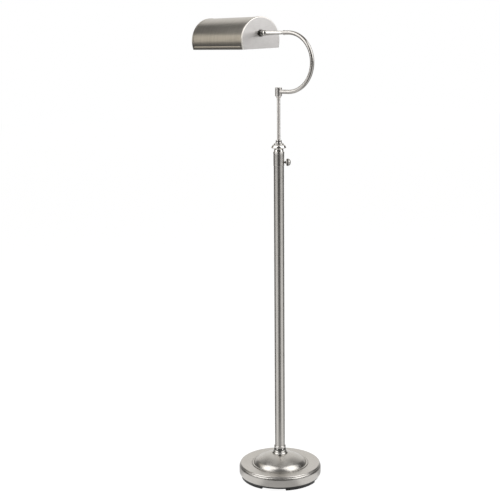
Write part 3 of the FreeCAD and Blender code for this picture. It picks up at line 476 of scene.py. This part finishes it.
FINISH = {
    "column_nickel": make_nickel("column_nickel", NICKEL, NICKEL_DARK, 0.24, fineness=1300.0, depth=0.008),
    "spun_nickel": make_nickel("spun_nickel", NICKEL, (0.46, 0.44, 0.41), 0.28, fineness=900.0, run=5.0,
                               depth=0.02),
    "polished_nickel": make_nickel("polished_nickel", (0.68, 0.66, 0.63), (0.52, 0.50, 0.47), 0.13,
                                   fineness=1800.0, depth=0.008, painted_shade_and_tarnish=0.7, swing=0.03),
    # Painted light: a much lighter copy of the column's satin nickel, so that the stem looks more brightly lit.
    "stem_nickel_painted_light": make_nickel("stem_nickel_painted_light", (0.86, 0.82, 0.78), (0.72, 0.685, 0.65), 0.36, fineness=1300.0,
                               depth=0.004, painted_shade_and_tarnish=0.2, swing=0.03),
    # Painted light: a lighter copy of the polished nickel, so that the swivel housing looks more brightly lit.
    "housing_nickel_painted_light": make_nickel("housing_nickel_painted_light", (0.84, 0.81, 0.78), (0.70, 0.68, 0.65), 0.25,
                                  fineness=1500.0, depth=0.004, painted_shade_and_tarnish=0.4, swing=0.03),
    # Painted shade: a darker copy of the column's satin nickel, so that the arm looks less brightly lit.
    "arm_nickel_painted_shade": make_nickel("arm_nickel_painted_shade", (0.49, 0.47, 0.445), (0.41, 0.39, 0.365), 0.25, grain="straight",
                              seat=ARM_SEAT, fineness=40.0, run=900.0, depth=0.003, swing=0.03),
    "hub_nickel": make_nickel("hub_nickel", (0.66, 0.64, 0.61), (0.50, 0.48, 0.45), 0.14, seat=ACROSS_SHADE,
                              fineness=1600.0, depth=0.03, painted_shade_and_tarnish=0.7, swing=0.05),
    "screw_nickel": make_nickel("screw_nickel", (0.66, 0.64, 0.61), (0.47, 0.44, 0.40), 0.14, seat=LOCK_SEAT,
                                fineness=1600.0, depth=0.03, painted_shade_and_tarnish=0.9, swing=0.05),
    "rolled_nickel": make_nickel("rolled_nickel", (0.52, 0.49, 0.445), (0.33, 0.31, 0.275), 0.28,
                                 grain="straight", seat=ACROSS_SHADE, fineness=700.0, run=5.0, depth=0.03,
                                 painted_shade_and_tarnish=0.25, swing=0.03, cloud=0.05, streaks=0.42),
    "pressed_nickel": make_nickel("pressed_nickel", (0.50, 0.485, 0.475), (0.38, 0.37, 0.36), 0.33,
                                  grain="straight", seat=SHADE_SEAT, fineness=900.0, run=60.0, depth=0.05),
    # Painted highlight: a bright cream nickel for the caps' rounded corner, standing in for the glint it catches.
    "cap_edge_painted_highlight": make_nickel("cap_edge_painted_highlight", (0.86, 0.83, 0.78), (0.70, 0.67, 0.62), 0.34,
                                 grain="straight", seat=ACROSS_SHADE, fineness=1500.0, run=16.0, depth=0.02),
    "white_enamel": make_plain("white_enamel", (0.86, 0.86, 0.84), (0.80, 0.80, 0.77), 0.32, grain=500.0,
                               depth=0.08, coat=0.3),
    "black_rubber": make_plain("black_rubber", (0.030, 0.030, 0.031), (0.018, 0.018, 0.018), 0.62, grain=1400.0,
                               depth=0.35),
    "black_enamel": make_plain("black_enamel", (0.035, 0.035, 0.036), (0.022, 0.022, 0.022), 0.38, depth=0.2),
    "blackened_steel": make_plain("blackened_steel", (0.10, 0.095, 0.088), (0.05, 0.047, 0.043), 0.30,
                                  metallic=1.0, depth=0.12),
    "zinc_plate": make_plain("zinc_plate", (0.62, 0.63, 0.64), (0.48, 0.49, 0.50), 0.32, metallic=1.0,
                             clouds=90.0),
    "cast_iron": make_plain("cast_iron", (0.16, 0.155, 0.15), (0.09, 0.088, 0.085), 0.60, metallic=0.8,
                            grain=350.0, depth=0.6),
    "brass": make_nickel("brass", (0.80, 0.62, 0.30), (0.62, 0.45, 0.20), 0.22, seat=ACROSS_SHADE, depth=0.04),
    "black_phenolic": make_plain("black_phenolic", (0.045, 0.036, 0.030), (0.025, 0.020, 0.017), 0.22, coat=0.3,
                                 depth=0.08),
    "white_nylon": make_plain("white_nylon", (0.80, 0.79, 0.75), (0.72, 0.71, 0.66), 0.40, depth=0.08),
    "lead_jacket": make_plain("lead_jacket", (0.05, 0.05, 0.05), (0.03, 0.03, 0.03), 0.45, depth=0.1),
    "frosted_glass": make_frosted_glass(),
}

# The nodes of the model that are shown as they are, by finish.
NODES_BY_FINISH = {
    "black_enamel": "base_plate",
    "zinc_plate": (
        "plate_screws base_stud base_washer base_lock_washer base_nut foot_insert lower_joint_socket "
        "lower_joint_plug lower_joint_stud upper_joint_socket upper_joint_plug upper_joint_stud clamp_block "
        "stop_washer swivel_nut swivel_stop_pin knuckle_nut hub_set_screw shade_nipple nipple_washer "
        "nipple_nut"),
    "cast_iron": "base_weight",
    "white_nylon": "guide_bush stem_guide knuckle_washer",
    "lead_jacket": "column_lead stem_lead arm_lead",
    "brass": "lock_pad bulb_cap",
    "blackened_steel": "knuckle_screw",
    "black_phenolic": "socket_body",
}


# ------------------------------------------------------------ shaping

def start_fresh():
    """Object mode with nothing selected."""
    if bpy.context.object and bpy.context.object.mode != "OBJECT":
        bpy.ops.object.mode_set(mode="OBJECT")
    bpy.ops.object.select_all(action="DESELECT")


def select_only(piece):
    start_fresh()
    piece.select_set(True)
    bpy.context.view_layer.objects.active = piece


def edit_all():
    """Edit mode with all of the active piece selected."""
    bpy.ops.object.mode_set(mode="EDIT")
    bpy.ops.mesh.select_all(action="SELECT")


def rounded(corners, base=0.0):
    """Corners (radius, height[, bend]) in millimetres, as rings in metres. A bend is the arc's radius to the next
    corner: positive turns left, negative right."""
    rings = []
    for index, corner in enumerate(corners):
        start = Vector(corner[:2])
        rings.append(start)
        if len(corner) < 3 or index + 1 == len(corners):
            continue
        finish, bend = Vector(corners[index + 1][:2]), corner[2]
        chord = finish - start
        left = Vector((-chord.y, chord.x)).normalized()
        rise = math.sqrt(bend ** 2 - (chord.length / 2) ** 2)
        centre = (start + finish) / 2 + left * math.copysign(rise, bend)
        first = math.atan2(start.y - centre.y, start.x - centre.x)
        sweep = 2 * math.asin(chord.length / 2 / abs(bend)) * math.copysign(1, bend)
        steps = max(2, round(abs(math.degrees(sweep)) / 9))
        rings += [centre + Vector((math.cos(first + sweep * step / steps),
                                   math.sin(first + sweep * step / steps))) * abs(bend)
                  for step in range(1, steps)]
    return [(radius * MM, (height + base) * MM) for radius, height in rings]


def turned(name, corners, base=0.0, sides=96, solid=False, edge=0.2):
    """A piece turned about Z: a circle, extruded and resized from ring to ring."""
    rings = rounded(corners, base)
    if not solid:
        rings.append(rings[0])
    radius, height = rings[0]
    start_fresh()
    bpy.ops.mesh.primitive_circle_add(vertices=sides, radius=radius, location=(0, 0, height),
                                      fill_type="NGON" if solid else "NOTHING")
    piece = bpy.context.object
    piece.name = piece.data.name = name
    bpy.ops.object.transform_apply()
    edit_all()
    for new_radius, new_height in rings[1:]:
        bpy.ops.mesh.extrude_region_move(TRANSFORM_OT_translate={"value": (0, 0, new_height - height)})
        ratio = new_radius / radius
        bpy.ops.transform.resize(value=(ratio, ratio, 1), center_override=(0, 0, new_height))
        radius, height = new_radius, new_height
    close_up()
    if edge:
        soften(piece, edge)
    return piece


def close_up():
    """Merge the active piece's doubles and turn every face outwards. Leaves edit mode."""
    bpy.ops.mesh.select_all(action="SELECT")
    bpy.ops.mesh.remove_doubles(threshold=0.002 * MM)
    bpy.ops.mesh.normals_make_consistent(inside=False)
    bpy.ops.object.mode_set(mode="OBJECT")


def apply_modifier(piece, kind, **settings):
    """Give a piece a modifier and apply it at once."""
    select_only(piece)
    modifier = piece.modifiers.new(kind.lower(), kind)
    for name, value in settings.items():
        setattr(modifier, name, value)
    bpy.ops.object.modifier_apply(modifier=modifier.name)
    return piece


def soften(piece, width, segments=2, angle=30):
    """Round the crisp edges by a width in millimetres."""
    return apply_modifier(piece, "BEVEL", width=width * MM, segments=segments, limit_method="ANGLE",
                          angle_limit=math.radians(angle))


def seated(piece, seat):
    """Set a piece at its seat and put the place into its mesh."""
    select_only(piece)
    piece.matrix_world = seat @ piece.matrix_world
    bpy.ops.object.transform_apply()
    return piece


def joined(name, *parts):
    """Make one piece of several."""
    start_fresh()
    for part in parts:
        part.select_set(True)
    bpy.context.view_layer.objects.active = parts[0]
    bpy.ops.object.join()
    parts[0].name = parts[0].data.name = name
    return parts[0]


def pick(piece, element, test):
    """Select in edit mode the vertices, edges or faces that pass a test, and nothing else."""
    bpy.ops.mesh.select_mode(type={"vertices": "VERT", "edges": "EDGE", "polygons": "FACE"}[element])
    bpy.ops.mesh.select_all(action="DESELECT")
    bpy.ops.object.mode_set(mode="OBJECT")
    for item in getattr(piece.data, element):
        item.select = test(item)
    bpy.ops.object.mode_set(mode="EDIT")


def grooved(piece, sides, low, high, reach, depth):
    """Draw in every other column of a turned piece's rim, between two heights and outside a radius."""
    bpy.ops.object.mode_set(mode="EDIT")

    def in_a_groove(vertex):
        column = round(math.degrees(math.atan2(vertex.co.y, vertex.co.x)) * sides / 360)
        return low * MM < vertex.co.z < high * MM and vertex.co.xy.length > reach * MM and column % 2 == 0

    pick(piece, "vertices", in_a_groove)
    bpy.ops.transform.resize(value=(depth, depth, 1), center_override=(0, 0, 0))
    bpy.ops.object.mode_set(mode="OBJECT")


def finished(piece, body, finish, slot, *nodes, angle=40):
    """Shade a piece, give it its finish and hand it to its body in place of the nodes it stands for."""
    select_only(piece)
    bpy.ops.object.shade_smooth_by_angle(angle=math.radians(angle))
    apply_modifier(piece, "WEIGHTED_NORMAL", mode="FACE_AREA", weight=100, keep_sharp=True)
    if not piece.data.materials:
        piece.data.materials.append(FINISH[finish])
    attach(piece, body)
    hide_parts(*nodes)


# ------------------------------------------------------------ base

def make_feet():
    """Four arcs of rubber with rounded lips, each spun from an upright strip."""
    inner, outer, height, arc, count = 104, 123.5, 6, 54, 4
    start_fresh()
    bpy.ops.mesh.primitive_plane_add(size=1, location=(((inner + outer) / 2) * MM, 0, height / 2 * MM),
                                     rotation=(math.radians(90), 0, 0))
    feet = bpy.context.object
    feet.scale = ((outer - inner) * MM, height * MM, 1)
    bpy.ops.object.transform_apply()
    feet = seated(feet, turn(arc / 2, "Z"))
    edit_all()
    bpy.ops.mesh.spin(steps=20, angle=math.radians(arc), center=(0, 0, 0), axis=(0, 0, 1))
    close_up()
    soften(feet, 1.1, segments=3, angle=50)
    copies = [feet]
    for number in range(1, count):
        select_only(feet)
        bpy.ops.object.duplicate()
        copies.append(seated(bpy.context.object, turn(360 / count * number, "Z")))
    feet = seated(joined("feet_rubber", *copies), turn(FOOT_HEADING, "Z"))
    finished(feet, "column", "black_rubber", "black_rubber", "rubber_feet", angle=35)


def make_base():
    """Spun cover with its rim, flat ring, bead and dome, and the turned collar on top of it."""
    crown, shoulder, slope = 128.2, 36, math.radians(62)
    collar, seat, wall = 24.5, 78, 1.6
    crown_z = seat - math.sqrt(crown ** 2 - collar ** 2)
    centre_r, centre_z = 82.5 - shoulder * math.sin(slope), 46 - shoulder * math.cos(slope)
    join = math.asin(centre_r / (crown - shoulder))

    def crown_at(bend):
        return bend * math.sin(join), crown_z + bend * math.cos(join)

    def foot_at(bend):
        return centre_r + bend * math.sin(slope), centre_z + bend * math.cos(slope)

    cover = turned("base_shell", [
        (7, seat), (collar, seat, -crown), (*crown_at(crown), -shoulder), foot_at(shoulder),
        (82.9, 44.5), (83.3, 44.5), (83.5, 45.3, -0.9), (84.3, 46.1), (87.4, 46.1, -0.9), (88.2, 45.3),
        (88.3, 43.6), (89, 43.5, 3), (90.6, 44.6),
        (124, 46.6, -5), (127.4, 42.4),
        (126.9, 41.4), (127.8, 40.6, -11), (130, 32.6), (130, 18.5, -10), (128, 12.5), (126.6, 12.5),
        (128.4, 18.5), (128.4, 32.6, 9.4), (123.2, 43.8), (88.5, 43), (*foot_at(shoulder - wall), shoulder - wall),
        (*crown_at(crown - wall), crown - wall), (23.5, seat - wall), (7, seat - wall)], sides=192, edge=0.25)
    finished(cover, "column", "spun_nickel", "satin_nickel", "base_cover", angle=30)

    collar_piece = turned("base_collar_turned", [
        (7, 0), (24.5, 0), (24.5, 2.6), (23.3, 3.8), (22.3, 4.4), (22.3, 6.6, 2), (20.3, 8.6), (19.7, 9.6),
        (20.4, 11, 14), (17.9, 18), (17.9, 19), (18.7, 19.6), (18.7, 23.6, 1.8), (16.9, 25.4), (16.5, 26),
        (7, 26)], base=seat)
    finished(collar_piece, "column", "polished_nickel", "polished_nickel", "base_collar")

    bushing = turned("inlet_bushing", [
        (3.4, 126.1), (6.5, 126.1), (6.5, 128.1), (5, 128.1), (5, 130.1), (7, 130.1), (7, 131.1, 1),
        (6, 132.1), (3.4, 132.1)], sides=48)
    finished(seated(bushing, CORD_SEAT), "column", "black_rubber", "black_rubber", "cord_bushing")


# ------------------------------------------------------------ column

def make_column():
    """Three tubes with softened ends, so that each joint shows as a fine groove, and the head sleeve."""
    bore, slope = COLUMN_RADIUS - COLUMN_WALL, 0.45
    for name, low, high in (("lower", 104, 410), ("middle", 410, 721), ("upper", 721, COLUMN_TOP)):
        tube = turned(name + "_column", [
            (bore, low), (COLUMN_RADIUS - slope, low), (COLUMN_RADIUS, low + slope),
            (COLUMN_RADIUS, high - slope), (COLUMN_RADIUS - slope, high), (bore, high)], edge=0.12)
        finished(tube, "column", "column_nickel", "satin_nickel", name + "_tube", angle=30)
    foot = 997
    sleeve = turned("head_sleeve_turned", [
        (COLUMN_RADIUS, foot), (SLEEVE_RADIUS - 0.3, foot), (SLEEVE_RADIUS, foot + 0.6),
        (SLEEVE_RADIUS, COLUMN_TOP), (COLUMN_RADIUS, COLUMN_TOP)], edge=0.15)
    finished(sleeve, "column", "column_nickel", "satin_nickel", "head_sleeve", angle=30)


def make_column_head():
    """Neck, flared skirt and gland at the top of the column."""
    head, skirt, gland, free = COLUMN_TOP, 1047, 1066, STEM_RADIUS + 0.6
    bore = COLUMN_RADIUS - COLUMN_WALL
    neck = turned("neck_turned", [
        (free, head - 9), (bore, head - 9), (bore, head), (SLEEVE_RADIUS + 0.1, head),
        (SLEEVE_RADIUS + 0.6, head + 1.2), (SLEEVE_RADIUS + 0.6, head + 5, 1.8), (SLEEVE_RADIUS - 1, head + 6.8),
        (15, head + 7.4), (14.2, skirt), (free, skirt)])
    finished(neck, "column", "polished_nickel", "polished_nickel", "column_neck")
    flare = turned("skirt_turned", [
        (free, skirt), (14.2, skirt, -8), (19.6, skirt + 5.2), (21.6, skirt + 4.2), (23, skirt + 5, 0.9),
        (22.5, skirt + 6.6, 14), (19.8, skirt + 12.9, -8), (15.8, gland - 3), (15, gland - 2.8),
        (15, gland - 1.8, 1.6), (14, gland), (free, gland)])
    finished(flare, "column", "polished_nickel", "polished_nickel", "column_skirt")
    nut = turned("gland_turned", [
        (7.2, gland), (10.2, gland), (10.2, gland + 2.4), (9.4, gland + 3.4), (8.9, gland + 8.6, 1.4),
        (7.6, gland + 10), (5.45, gland + 10), (5.45, gland + 8), (7.2, gland + 8)], sides=72)
    finished(nut, "column", "polished_nickel", "polished_nickel", "stem_gland")


def make_lock_screw():
    """Thumb screw: plain shank, waist, straight-knurled rim and domed face."""
    head = SLEEVE_RADIUS + 5.4
    screw = turned("thumb_screw", [
        (2.95, 9.07), (2.95, head - 3), (4.6, head - 2.6), (4.6, head), (8.6, head + 0.4, 3), (11.2, head + 3),
        (11.2, head + 7.6), (10.4, head + 8.4), (10.4, head + 9.4, 10), (5.4, head + 13.6, 14),
        (0.8, head + 14.4)], sides=120, solid=True, edge=0.15)
    grooved(screw, 120, head + 2.7, head + 7.9, 10.8, 0.955)
    finished(seated(screw, LOCK_SEAT), "lock_screw", "screw_nickel", "polished_nickel", "lock_screw", angle=25)


# ------------------------------------------------------------ stem, swivel and arm

def make_stem():
    """Sliding tube with its formed bead under the swivel."""
    low, housing = 868, SWIVEL_LEVEL
    tube = turned("stem_sliding", [
        (3.5, low), (5, low), (5, housing - 3), (6.6, housing - 2.4, 1.3), (6.6, housing - 0.4),
        (5, housing - 0.05), (5, housing + 21), (3.5, housing + 21)], sides=64, edge=0.15)
    finished(tube, "stem", "stem_nickel_painted_light", "satin_nickel", "stem_tube")


def make_swivel():
    """Cup-shaped housing of the swivel and its flat cap."""
    low, top, radius = SWIVEL_LEVEL, SWIVEL_LEVEL + 28, 10.5
    housing = turned("swivel_cup", [
        (5.05, low), (6.6, low), (9.4, low + 1.6, 3.2), (radius, low + 4.6), (radius, top - 0.3),
        (radius - 0.3, top), (9.2, top), (9.2, top - 2), (8.3, top - 2), (8.3, low + 5), (5.05, low + 5)],
        sides=72)
    finished(housing, "arm", "housing_nickel_painted_light", "polished_nickel", "swivel_housing")
    cap = turned("swivel_lid", [(9.2, top - 2), (9.2, top), (8.8, top + 0.4), (0.5, top + 0.4)], sides=72, solid=True,
                 edge=0.1)
    finished(cap, "arm", "housing_nickel_painted_light", "polished_nickel", "swivel_cap")


def make_arm():
    """Bent tube: a circle extruded along the lower run, spun round the bend and run back."""
    start_fresh()
    radius, end, steps = 6.35, 23, 72
    bpy.ops.mesh.primitive_circle_add(vertices=48, radius=radius * MM, location=(ARM_START * MM, 0, ARM_LEVEL * MM),
                                      rotation=(0, math.radians(90), 0), fill_type="NGON")
    tube = bpy.context.object
    tube.name = tube.data.name = "arm_bent"
    bpy.ops.object.transform_apply()
    edit_all()
    bpy.ops.mesh.extrude_region_move(TRANSFORM_OT_translate={"value": ((ARM_REACH - ARM_START) * MM, 0, 0)})
    centre = Vector((ARM_REACH, 0, ARM_LEVEL + ARM_BEND)) * MM
    for _ in range(steps):
        bpy.ops.mesh.extrude_region_move()
        bpy.ops.transform.rotate(value=math.radians(180 / steps), orient_axis="Y", center_override=centre)
    bpy.ops.mesh.extrude_region_move(TRANSFORM_OT_translate={"value": ((end - ARM_REACH) * MM, 0, 0)})
    close_up()
    finished(seated(tube, ARM_SEAT), "arm", "arm_nickel_painted_shade", "satin_nickel", "arm_tube")

    along_rail = RAIL_SEAT @ turn(90, "Y")
    ferrule = turned("ferrule_turned", [
        (3, 8.5), (4, 8.5), (4, 15.5), (5.1, 15.5), (5.1, 19.3), (6.6, 19.5, 1.6), (6.9, 22), (6.7, 23),
        (5.15, 23), (5.15, 31), (3, 31)], sides=64, edge=0.15)
    finished(seated(ferrule, along_rail), "arm", "hub_nickel", "polished_nickel", "arm_ferrule")


def halve(piece, upper):
    """Keep the upper or lower half of a closed piece, cut flat beside the friction washer."""
    edit_all()
    gap = BALL_GAP * MM if upper else -BALL_GAP * MM
    bpy.ops.mesh.bisect(plane_co=(0, 0, gap), plane_no=(0, 0, 1), use_fill=True, clear_inner=upper,
                        clear_outer=not upper)
    close_up()


def half_ball(name, centre, upper):
    """Half of the knuckle's ball."""
    start_fresh()
    bpy.ops.mesh.primitive_uv_sphere_add(segments=64, ring_count=32, radius=BALL_RADIUS * MM,
                                         location=(centre * MM, 0, 0))
    half = bpy.context.object
    half.name = half.data.name = name
    bpy.ops.object.transform_apply()
    halve(half, upper)
    return soften(half, 0.35, angle=50)


def half_bridge(centre, upper):
    """Half of the short bar inside the ball that joins it to its stem or hub."""
    radius, length = 6.2, 8
    start_fresh()
    bpy.ops.mesh.primitive_cylinder_add(vertices=48, radius=radius * MM, depth=length * MM,
                                        location=(centre * MM, 0, 0), rotation=(0, math.radians(90), 0))
    bridge = bpy.context.object
    bpy.ops.object.transform_apply()
    halve(bridge, upper)
    return bridge


def make_knuckle():
    """Tapered stem with the lower half of the ball, and the upper half with the hub behind it."""
    clearance, bridge_place = 0.35, 7
    reach = KNUCKLE_REACH - BALL_RADIUS - clearance
    taper = turned("taper_turned", [
        (2.6, -reach), (6.4, -reach), (7.25, -reach + 0.9), (5.5, 14.5), (4.9, 15.5), (4, 15.5), (4, 8.3),
        (2.6, 8.3)], sides=64, edge=0.2)
    seated(taper, turn(90, "Y"))
    stem = joined("knuckle_taper", taper, half_ball("ball_lower", -KNUCKLE_REACH, False),
                  half_bridge(bridge_place - KNUCKLE_REACH, False))
    finished(seated(stem, RAIL_SEAT), "arm", "hub_nickel", "polished_nickel", "knuckle_stem")

    ball = half_ball("ball_upper", 0, True)
    hub = turned("hub_turned", [
        (6.5, 9.35), (7.5, 10.35), (7.5, 16.5), (5.05, 16.5), (5.05, 12)], sides=64, solid=True, edge=0.2)
    seated(hub, ALONG_MINUS_X)
    head = joined("knuckle_hub", ball, hub, half_bridge(-bridge_place, True))
    finished(seated(head, HUB_SEAT), "knuckle", "hub_nickel", "polished_nickel", "knuckle_head")

    # Painted shade and dark reflection: the hub washer is a real part, but its black finish stands in for its dark
    # look.
    disc = turned("hub_disc", [(5.05, 16.5), (9.5, 16.5, 1), (10.5, 17.5), (10.5, 19.95), (5.05, 19.95)], sides=72,
                  edge=0.2)
    finished(seated(disc, HUB_SEAT @ ALONG_MINUS_X), "knuckle", "blackened_steel", "blackened_steel", "hub_washer")


# ------------------------------------------------------------ shade

def arc_outline(radius, start, filled):
    """The shade's arc as a circle about X at a place along it, cut off along its open side."""
    start_fresh()
    bpy.ops.mesh.primitive_circle_add(vertices=288, radius=radius * MM, fill_type="NGON" if filled else "NOTHING",
                                      location=(start * MM, 0, -SHADE_DROP * MM),
                                      rotation=(math.radians(90), 0, math.radians(90)))
    piece = bpy.context.object
    bpy.ops.object.transform_apply()
    edit_all()
    bpy.ops.mesh.bisect(plane_co=(0, 0, SHADE_LOW), plane_no=(0, 0, 1), use_fill=False, clear_inner=True)
    return piece


def face_out(piece, rank, outward):
    """Turn an open sheet's faces so that the one that ranks highest looks outward."""
    edit_all()
    bpy.ops.mesh.normals_make_consistent(inside=False)
    bpy.ops.object.mode_set(mode="OBJECT")
    if max(piece.data.polygons, key=rank).normal.dot(outward) < 0:
        edit_all()
        bpy.ops.mesh.flip_normals()
        bpy.ops.object.mode_set(mode="OBJECT")


def make_end_cap(name, face, inwards, node):
    """Pressed cap: flat D-shaped face, rounded edge with a painted highlight, and a flange over the barrel."""
    flange, corner, sheet = 10, 3, 1
    lining_depth, flange_depth, flange_width, corner_width, lip = 0.8, 2.2, 0.8, 3.2, 0.3
    cap = arc_outline(SHADE_RADIUS, face, filled=True)
    cap.name = cap.data.name = name

    def on_the_arc(edge):
        return max(cap.data.vertices[index].co.z for index in edge.vertices) > SHADE_LOW + HAIR

    def on_the_corner(edge):
        off_face = max(abs(cap.data.vertices[index].co.x - face * MM) for index in edge.vertices)
        return on_the_arc(edge) and off_face < HAIR

    pick(cap, "edges", on_the_arc)
    bpy.ops.mesh.extrude_region_move(TRANSFORM_OT_translate={"value": (inwards * flange * MM, 0, 0)})
    pick(cap, "edges", on_the_corner)
    bpy.ops.mesh.bevel(offset=corner * MM, segments=6, affect="EDGES", profile=0.5)
    face_out(cap, lambda polygon: polygon.area, Vector((-inwards, 0, 0)))
    apply_modifier(cap, "SOLIDIFY", thickness=sheet * MM, offset=-1)
    soften(cap, 0.2, angle=50)
    layers = ["pressed_nickel", "white_enamel", "rolled_nickel", "cap_edge_painted_highlight"]
    for finish in layers:
        cap.data.materials.append(FINISH[finish])
    for polygon in cap.data.polygons:
        spot = (polygon.center - Vector((face * MM, 0, -SHADE_DROP * MM))) / MM
        depth, reach = spot.x * inwards, spot.yz.length
        within = reach < SHADE_RADIUS - flange_width
        finish = "pressed_nickel"
        if depth > lining_depth and within:
            finish = "white_enamel" if spot.z > lip - SHADE_CHORD else "pressed_nickel"
        elif depth > flange_depth and not within:
            finish = "rolled_nickel"
        elif reach > SHADE_RADIUS - corner_width:
            # Painted highlight on the rounded corner.
            finish = "cap_edge_painted_highlight"
        polygon.material_index = layers.index(finish)
    finished(seated(cap, SHADE_SEAT), "shade", "pressed_nickel", "satin_nickel", node, angle=30)


def make_barrel():
    """Rolled sheet of the shade: nickel outside and white inside, with a rib near each folded lower edge."""
    inset, sheet, plain_end, step = 3, 0.9, 6.6, 0.7
    first, last = -(SHADE_NEAR + inset), -(SHADE_NEAR + SHADE_LENGTH - inset)
    ribbed = first - last - 2 * (plain_end + step)
    barrel = arc_outline(SHADE_RADIUS - 1, first, filled=False)
    barrel.name = barrel.data.name = "shade_rolled"
    bpy.ops.mesh.select_all(action="SELECT")
    for run in (plain_end, step, ribbed, step, plain_end):
        bpy.ops.mesh.extrude_region_move(TRANSFORM_OT_translate={"value": (-run * MM, 0, 0)})

    def angle_of(place):
        return math.degrees(math.atan2(place.z + SHADE_DROP * MM, abs(place.y)))

    ribs_first, ribs_last = (first - plain_end - step / 2) * MM, (last + plain_end + step / 2) * MM
    for low_angle, high_angle, swell in ((-16.5, -12.4, 1.0065), (-15.5, -13.4, 1.0065), (-11.5, -9.0, 0.994)):
        pick(barrel, "vertices", lambda vertex: low_angle < angle_of(vertex.co) < high_angle
             and ribs_last < vertex.co.x < ribs_first)
        bpy.ops.transform.resize(value=(1, swell, swell), center_override=(0, 0, -SHADE_DROP * MM))
    for side in (-1, 1):
        pick(barrel, "edges", lambda edge: all(
            barrel.data.vertices[index].co.z < SHADE_LOW + HAIR and barrel.data.vertices[index].co.y * side > 0
            for index in edge.vertices))
        for fold_in, fold_up in ((0.9, 0), (1.2, 0.7), (0.2, 1.6)):
            bpy.ops.mesh.extrude_region_move(
                TRANSFORM_OT_translate={"value": (0, -side * fold_in * MM, fold_up * MM)})
    face_out(barrel, lambda polygon: polygon.center.z, UP)
    for finish in ("rolled_nickel", "white_enamel"):
        barrel.data.materials.append(FINISH[finish])
    apply_modifier(barrel, "SOLIDIFY", thickness=sheet * MM, offset=-1, material_offset=1, material_offset_rim=0)
    finished(seated(barrel, SHADE_SEAT), "shade", "rolled_nickel", "satin_nickel", "shade_barrel", angle=40)


def make_socket():
    """Metal cap and shell of the lamp socket, and the ribbed knob of its switch."""
    start, radius = SHADE_NEAR + 6.2, 17
    seat = SHADE_SEAT @ ALONG_MINUS_X
    cap = turned("socket_cup", [
        (5, start), (10, start), (11, start + 0.4, 5), (radius - 0.4, start + 5), (radius, start + 20),
        (radius - 1, start + 20), (radius - 1, start + 16), (radius - 1.4, start + 5.2, -4), (10, start + 1),
        (5, start + 1)], sides=72, edge=0.12)
    finished(seated(cap, seat), "shade", "brass", "brass", "socket_cap")
    shell = turned("socket_sleeve", [
        (radius - 1.8, start + 17), (radius - 1, start + 17), (radius - 1, start + 54), (radius - 0.6, start + 55),
        (radius - 1.8, start + 55)], sides=72, edge=0.12)
    finished(seated(shell, seat), "shade", "brass", "brass", "socket_shell")
    knob = turned("switch_ribbed", [
        (2.4, -10.2), (2.4, -23), (5, -23), (5.8, -24), (6.4, -33, -1.4), (5.4, -34), (0.5, -34)], sides=48,
        solid=True, edge=0.15)
    grooved(knob, 48, -33.5, -23.5, 5, 0.93)
    shaft = Matrix.Translation((-(start + 14) * MM, 0, 0))
    finished(seated(knob, SHADE_SEAT @ shaft), "switch_knob", "black_phenolic", "black_plastic", "switch_knob")


def make_bulb():
    """Pear-shaped frosted envelope."""
    start = SHADE_NEAR + 33
    neck = start + 26
    widest, tip, wide = neck + 48, neck + 78, 30
    glass = turned("bulb_envelope", [
        (12.4, neck), (13.4, neck + 0.4, -60), (20.5, neck + 22, 52), (wide, widest, wide), (0.6, tip - 0.02)],
        sides=72, solid=True, edge=0)
    finished(seated(glass, SHADE_SEAT @ ALONG_MINUS_X), "shade", "frosted_glass", "bulb_glass", "bulb_glass",
             angle=60)


# ------------------------------------------------------------ the lamp

set_camera()
set_studio()
make_feet()
make_base()
make_column()
make_column_head()
make_lock_screw()
make_stem()
make_swivel()
make_arm()
make_knuckle()
make_end_cap("near_cap_pressed", -SHADE_NEAR, -1, "near_cap")
make_end_cap("far_cap_pressed", -(SHADE_NEAR + SHADE_LENGTH), 1, "far_cap")
make_barrel()
make_socket()
make_bulb()

for finish, nodes in NODES_BY_FINISH.items():
    for node in nodes.split():
        for material_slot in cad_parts[node].material_slots:
            material_slot.material = FINISH[finish]
